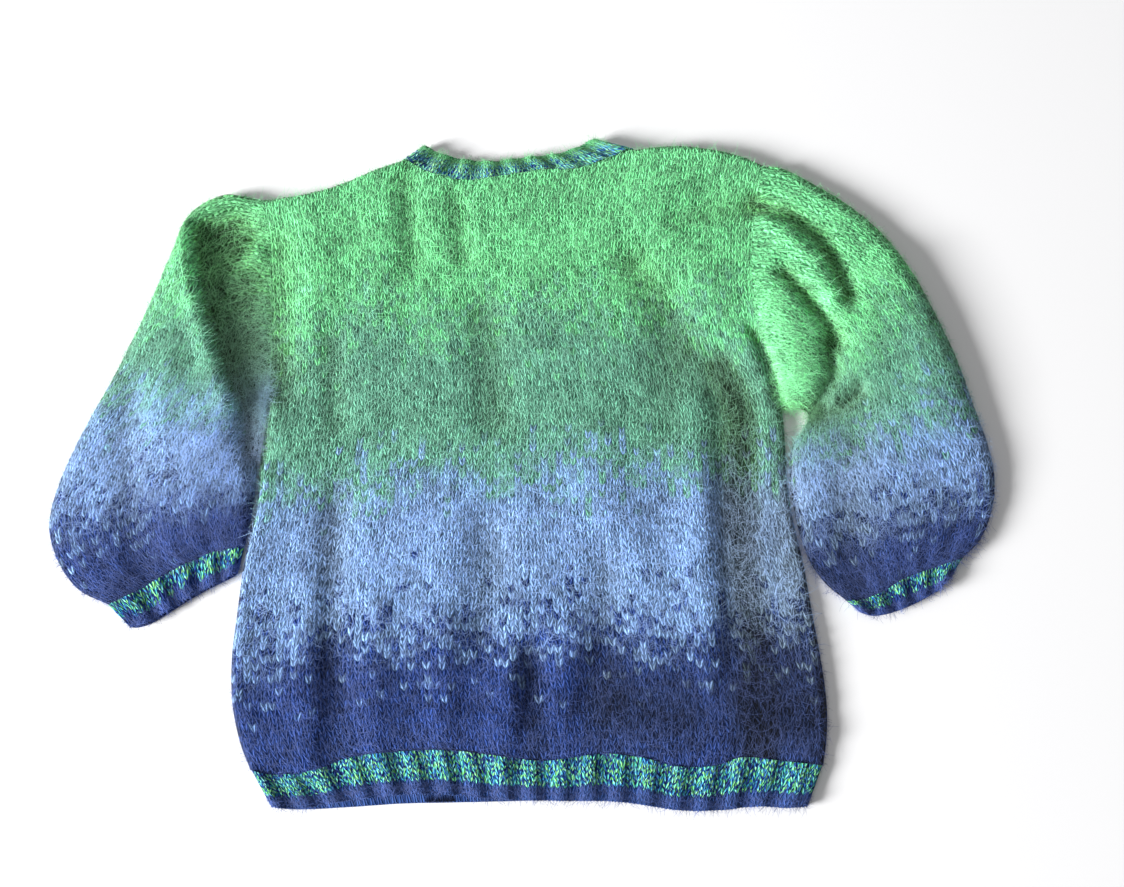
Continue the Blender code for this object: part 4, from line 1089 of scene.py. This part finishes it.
def turn_in(points, rows, closed, turned):
    """Adds rows past the last one that carry the free edge round and back inside."""
    normals = grid_normals(points, closed)[-1] * (-1 if turned else 1)
    outwards = unit(points[-1] - points[-2])
    added = [points[-1] + WALL / 2 * (outwards * np.sin(angle) - normals * (1 - np.cos(angle)))
             for angle in TURN_ANGLES]
    added.append(added[-1] - outwards * TURNED_IN)
    row_step = rows[-1] - rows[-2]
    more = rows[-1] + row_step * np.arange(1, len(added) + 1)
    return np.concatenate([points, np.stack(added)]), np.concatenate([rows, more])


def add_band(name, layers, columns, rows, material, turned):
    """A tube of rib whose free edge is turned in."""
    points, columns = join_layers(layers, columns)
    points, rows = turn_in(points, rows, True, turned)
    stitches = np.stack(np.meshgrid(columns, rows), axis=-1)
    add_sheet(name, points, stitches, material, painted_rib_shades(stitches), closed=True, turned=turned)


# %% The ribbed hem, in a back and a front half
def add_hem(name, hem, cells, upper):
    """Half of the hem, between its seam and the free edge whose table is hem."""
    seam = Curve(HEM_SEAM)
    free = Curve(hem)
    rows = np.linspace(HEM_BAND_ROWS, 0, HEM_BAND_ROWS * BAND_CELLS + 1)
    u, down = np.meshgrid(np.linspace(0, 1, COLUMNS * cells + 1), 1 - rows / HEM_BAND_ROWS)
    seam_line = seam.at_x(HEM_SEAM[0][0] + (HEM_SEAM[-1][0] - HEM_SEAM[0][0]) * u)
    seam_line[..., 1] -= SEAM_GAP
    free_line = free.at_x(hem[0][0] + (hem[-1][0] - hem[0][0]) * u)
    free_line[..., 1] += WALL / 2
    plan = mix(seam_line, free_line, down)
    inward = np.zeros_like(plan)
    rise = np.zeros_like(u)
    for column, direction in ((0, 1), (-1, -1)):
        distance = np.abs(plan[..., 0] - plan[:, column, 0][:, None])
        inward[..., 0] += direction * rolled(distance, EDGE_RADIUS)
        rise = np.maximum(rise, roll_rise(distance))
    if upper:
        crown = lifted(crease_relief(plan)) + rise + RIB_RISE * rib_wave(u * COLUMNS)
        points = surface(plan, inward, EDGE_MIDDLE + SEAM_GAP / 2, crown)
    else:
        points = surface(plan, inward, EDGE_MIDDLE - SEAM_GAP / 2)
    points, rows = turn_in(points, rows, False, upper)
    stitches = np.stack(np.meshgrid(u[0] * COLUMNS, rows), axis=-1)
    add_sheet(name, points, stitches, hem_marl, painted_rib_shades(stitches), turned=upper)


add_hem("hem_rib_back", BACK_HEM, CELLS_ACROSS, True)
add_hem("hem_rib_front", FRONT_HEM, HIDDEN_CELLS, False)


# %% The ribbed cuffs
def add_cuff(name, seam_rows, end_rows, turned):
    """A cuff between the tables of its seam and of its free edge, both layers in one grid."""
    seam = Curve(seam_rows)
    end = Curve(end_rows)
    rows = np.linspace(CUFF_BAND_ROWS, 0, CUFF_BAND_ROWS * BAND_CELLS + 1)
    layers = []
    for cells, upper in LAYERS:
        v, down = np.meshgrid(np.linspace(0, 1, CUFF_STITCHES * cells + 1), 1 - rows / CUFF_BAND_ROWS)
        plan = mix(seam.at(v), end.at(v), down)
        drop = unit(plan[-1] - plan[0])
        plan = plan + drop[None] * (SEAM_GAP - (SEAM_GAP + WALL / 2) * down)[..., None]
        span = plan[:, -1:] - plan[:, :1]
        width = np.linalg.norm(span, axis=-1)
        crown = None
        if upper:
            crown = lifted(crease_relief(plan)) + RIB_RISE * rib_wave(v * CUFF_STITCHES)
        layers.append(lay_tube(plan, span, v * width, (1 - v) * width, crown)[0])
    add_band(name, layers, CUFF_STITCHES, rows, cuff_marl, turned)


add_cuff("cuff_left", LEFT_CUFF_SEAM, LEFT_CUFF_END, False)
add_cuff("cuff_right", RIGHT_CUFF_SEAM, RIGHT_CUFF_END, True)


# %% The ribbed neckband
NECK_BAND_WIDTH = 0.023     # about; the last row stops half a wall short, so that the edge has room to turn


def neck_layer(neck, free_rows, hole, stitches_across, cells):
    """Plan of one layer of the neckband, from its seam towards the hole of the neck."""
    rows = np.linspace(0, 1, NECK_BAND_ROWS * BAND_CELLS + 1)
    v, share = np.meshgrid(np.linspace(0, 1, stitches_across * cells + 1), rows)
    seam = Curve(neck).at(v)
    seam = seam + SEAM_GAP * unit(hole - seam)
    return mix(seam, Curve(free_rows).at(v), share * (1 - WALL / 2 / NECK_BAND_WIDTH))


neck_width = NECK_RIGHT_X - NECK_LEFT_X
neck_middle = (NECK_LEFT_X + NECK_RIGHT_X) / 2
above = np.array([neck_middle, BACK_NECK[0][1] + neck_width / 2])
inside = np.array([neck_middle, BACK_NECK[0][1]])
neck_plans = [
    neck_layer(BACK_NECK, BACK_BAND_TOP, above, NECK_STITCHES, CELLS_ACROSS),
    neck_layer(FRONT_NECK, FRONT_BAND_TOP, inside, NECK_FRONT_STITCHES, HIDDEN_CELLS),
]
for end in (0, -1):
    shared = (neck_plans[0][:, end] + neck_plans[1][:, end]) / 2
    for plan in neck_plans:
        plan[:, end] = shared

neck_layers = []
for plan, upper in zip(neck_plans, (True, False)):
    from_left = np.cumsum(np.linalg.norm(np.diff(plan, axis=1, prepend=plan[:, :1]), axis=-1), axis=1)
    from_right = from_left[:, -1:] - from_left
    crown = None
    if upper:
        ribs = RIB_RISE * rib_wave(np.linspace(0, NECK_STITCHES, plan.shape[1]))
        slope = BODY_LOFT * np.linspace(1, 0, plan.shape[0])[:, None]
        crown = lifted(crease_relief(plan) + slope) + ribs
    neck_layers.append(lay_tube(plan, np.gradient(plan, axis=1), from_left, from_right, crown)[0])
neck_rows = np.linspace(0, NECK_BAND_ROWS, NECK_BAND_ROWS * BAND_CELLS + 1)
add_band("neckband", neck_layers, NECK_STITCHES, neck_rows, neck_marl, False)

# %% [markdown]
# ## Mohair hairs
# Long hairs stand out of the yarn and lie across the stitches, over the seams and beyond the outline. Each
# is a thin, bent ribbon of three faces, rooted at a random stitch, whose UV is the root's, so that it takes
# that stitch's colour. All the hairs of one piece of cloth are a single mesh.

# %% Growing hairs on a sheet
HAIR_SHARES = np.array([0.0, 0.33, 0.67, 1.0])      # the ends of its three faces
HAIR_WIDTH = 0.00024        # a few fibres that lie together; a single one wouldn't show
EDGE_TILT = 0.75            # the cloth counts as an edge where its normal's height is less than this
EDGE_HAIRS = 1.5            # how much denser hairs stand there
EDGE_HAIR_LENGTH = 0.55     # and how much shorter they are
HAIR_COMB = 1.0             # how much more the hairs lie along the columns than across them
HAIR_LENGTHS = (0.5, 1.5)   # from the shortest to the longest, compared with the sheet's usual length
HAIR_LIFTS = (0.3, 1.0)     # and in the same way how far they stand off the cloth
HAIR_ARCH = 0.8 * np.pi     # the part of a wave that it rises and sinks by
HAIR_START = 0.1            # how far off the cloth it begins, compared with its rise
HAIR_FLOOR = 0.0004         # no hair sinks lower
HAIR_TOP = 0.0035           # how far above its root a hair may reach
HAIR_CURL = 0.6             # radians that a hair turns through along its length
HAIR_TAPER = 0.6            # how much narrower it is at its tip


def add_hairs(node, count, material, length, lift, seed):
    """Grows hairs on the upper side of a sheet. lift is how far they stand off the cloth."""
    draw = np.random.default_rng(seed)
    sheet = sheets[node]
    points = sheet["points"]
    rows, columns = np.nonzero(sheet["rooting"])
    weights = 1 + EDGE_HAIRS * (sheet["normals"][rows, columns, 2] < EDGE_TILT)
    chosen = draw.choice(len(rows), count, p=weights / weights.sum())
    row, column = rows[chosen], columns[chosen]
    root = points[row, column]
    up = sheet["normals"][row, column]
    along = unit(np.gradient(points, axis=0)[row, column], NO_LENGTH)
    heading = draw.normal(size=(count, 3)) + along * draw.normal(0, HAIR_COMB, (count, 1))
    heading -= up * (heading * up).sum(-1, keepdims=True)
    heading = unit(heading)
    aside = np.cross(up, heading)
    shorter = np.where(up[:, 2] < EDGE_TILT, EDGE_HAIR_LENGTH, 1.0)
    reach = (length * draw.uniform(*HAIR_LENGTHS, count) * shorter)[:, None, None]
    turn = HAIR_CURL * draw.uniform(-1, 1, count)[:, None] * HAIR_SHARES
    rise = lift * draw.uniform(*HAIR_LIFTS, count)[:, None, None]
    share = HAIR_SHARES[None, :, None]
    bent = heading[:, None] * np.cos(turn)[..., None] + aside[:, None] * np.sin(turn)[..., None]
    path = root[:, None] + reach * share * bent
    path = path + up[:, None] * rise * (np.sin(HAIR_ARCH * share) + HAIR_START)
    path[..., 2] = np.clip(path[..., 2], HAIR_FLOOR, root[:, None, 2] + HAIR_TOP)
    run = np.gradient(path, axis=1)
    breadth = unit(np.cross(run, np.broadcast_to(up[:, None], run.shape)), NO_LENGTH)
    half = breadth * HAIR_WIDTH / 2 * (1 - HAIR_TAPER * share)
    ribbons = np.stack([path - half, path + half], axis=2).reshape(-1, 3)
    parts = len(HAIR_SHARES) - 1
    first = np.arange(count)[:, None] * 2 * len(HAIR_SHARES) + np.arange(parts) * 2
    faces = np.stack([first, first + 1, first + 3, first + 2], axis=-1).reshape(-1, 4)
    maps = {map_name: np.repeat(sheet[map_name][row, column], 4 * parts, axis=0)
            for map_name in ("stitches", "shades")}
    return add_mesh("mohair_on_" + node, ribbons, faces, maps, material)


# %% Where hairs grow: above the floor and, on the bands, in the rows of the plain edge
ROOT_HEIGHT = 0.003
PLAIN_ROWS = {
    "hem_rib_back": (0, 1.8),
    "cuff_left": (0, 1.4),
    "cuff_right": (0, 1.4),
    "neckband": (2.4, NECK_BAND_ROWS),
}
for node, sheet in sheets.items():
    rows_up = sheet["stitches"][:, :sheet["points"].shape[1], 1]
    lowest, highest = PLAIN_ROWS.get(node, (-math.inf, math.inf))
    sheet["rooting"] = (sheet["points"][..., 2] > ROOT_HEIGHT) & (rows_up >= lowest) & (rows_up <= highest)
sheets["back_panel"]["rooting"] &= ~back_beyond

# %% Hairs on the body, the sleeves and the plain edges
ALWAYS_ABOVE = -20.0        # a row so low that the colour above it holds everywhere
FIRST_SEED = 11
body_hair = loose_hair("mohair_hairs_body", BODY_COLOURS)
sleeve_hair = loose_hair("mohair_hairs_sleeves", SLEEVE_COLOURS)
edge_hair = loose_hair("mohair_hairs_neck", ((ALWAYS_ABOVE, NECK_EDGE, 0.0, 0.0, 0.0, 1.0),))

# How many hairs, their material, how long they are and how far they stand off the cloth, in metres.
HAIRS = {
    "back_panel": (32000, body_hair, 0.012, 0.0030),
    "sleeve_left": (16000, sleeve_hair, 0.012, 0.0024),
    "sleeve_right": (16000, sleeve_hair, 0.012, 0.0024),
    "hem_rib_back": (2600, body_hair, 0.007, 0.0016),
    "cuff_left": (700, sleeve_hair, 0.007, 0.0016),
    "cuff_right": (700, sleeve_hair, 0.007, 0.0016),
    "neckband": (1100, edge_hair, 0.007, 0.0016),
}
hairs = {}
for seed, (node, settings) in enumerate(HAIRS.items(), FIRST_SEED):
    hairs[node] = add_hairs(node, *settings, seed)

# %% [markdown]
# ## The pieces on the body
# Every piece rides on the one body, and each sheet hides the CAD node that it stands for. The table gives
# each node's slot for its finish and the flat size of its cut (a tube's is its girth by its length), but
# nothing here reads them.

# %% Slots and cut sizes, in metres: width and length, then the area where the cut isn't a rectangle
CUTS = {
    "back_panel": ("mohair_knit", (0.53, 0.59), 0.285),
    "front_panel": ("mohair_knit", (0.53, 0.59), 0.270),
    "sleeve_left": ("mohair_knit", (0.42, 0.44), 0.145),
    "sleeve_right": ("mohair_knit", (0.42, 0.44), 0.145),
    "hem_rib_back": ("marled_rib_navy_edge", (0.52, 0.05), None),
    "hem_rib_front": ("marled_rib_navy_edge", (0.52, 0.05), None),
    "cuff_left": ("marled_rib_navy_edge", (0.27, 0.035), None),
    "cuff_right": ("marled_rib_navy_edge", (0.25, 0.035), None),
    "neckband": ("marled_rib_green_edge", (0.54, 0.035), None),
}
for node, (slot_name, flat, area) in CUTS.items():
    sheet = sheets[node]["piece"]
    loose = [hairs[node]] if node in hairs else []
    for part in [sheet] + loose:
        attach(part, "root")
    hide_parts(node)
print("pieces:", len(CUTS), "sheets and the hairs of", len(hairs))

# %% [markdown]
# ## Floor, light and camera
# The garment lies on a white floor and is seen from nearly straight above. The light comes from a broad
# window on the left, a little below, so that shadows fall softly to the right and upwards.

# %% The floor
FLOOR_SIZE = 8.0
FLOOR_HEIGHT = -0.0005      # just under the cloth
bpy.ops.object.select_all(action="DESELECT")
bpy.ops.mesh.primitive_plane_add(size=FLOOR_SIZE, location=(0, 0, FLOOR_HEIGHT))
floor = bpy.context.object
floor.name = "floor"
paper = new_material("white_paper_backdrop")
paper_shader = add_node(paper.node_tree, "BsdfPrincipled", {"Base Color": linear("#F6F6F7"),
                                                            "Roughness": 0.9, "Specular IOR Level": 0.1})
add_node(paper.node_tree, "OutputMaterial", {"Surface": paper_shader})
floor.data.materials.append(paper)

# %% The lights, each a square lamp that faces the garment: its place, its size and its power in watts
LAMPS = {
    "window": ((-6.0, -2.1, 2.45), 2.2, 1160),
    "room": ((-0.6, 0.5, 2.2), 2.0, 8),
}
DAYLIGHT = 0.22             # that comes from all round
for name, (place, size, power) in LAMPS.items():
    lamp = bpy.data.lights.new(name, "AREA")
    lamp.size = size
    lamp.energy = power
    holder = bpy.data.objects.new(name, lamp)
    bpy.context.collection.objects.link(holder)
    holder.location = place
    holder.rotation_euler = (-Vector(place)).to_track_quat("-Z", "Y").to_euler()
world = bpy.data.worlds.new("soft_daylight")
world.use_nodes = True
world.node_tree.nodes["Background"].inputs["Color"].default_value = linear("#FFFFFF")
world.node_tree.nodes["Background"].inputs["Strength"].default_value = DAYLIGHT
bpy.context.scene.world = world
bpy.context.scene.view_settings.view_transform = "Standard"

# %% The camera
CAMERA_ELEVATION = math.radians(78)
CAMERA_DISTANCE = 1.30
VIEW_WIDTH = 1.034          # metres across the frame, at the garment
SENSOR_WIDTH = 36
LOOK_AT = Vector((0.0350, 0.0136, 0.006))
lens = bpy.data.cameras.new("camera")
lens.sensor_width = SENSOR_WIDTH
lens.lens = SENSOR_WIDTH * CAMERA_DISTANCE / VIEW_WIDTH
camera = bpy.data.objects.new("camera", lens)
bpy.context.collection.objects.link(camera)
back_off = Vector((0, -math.cos(CAMERA_ELEVATION), math.sin(CAMERA_ELEVATION)))
camera.location = LOOK_AT + back_off * CAMERA_DISTANCE
camera.rotation_euler = (-back_off).to_track_quat("-Z", "Y").to_euler()
bpy.context.scene.camera = camera
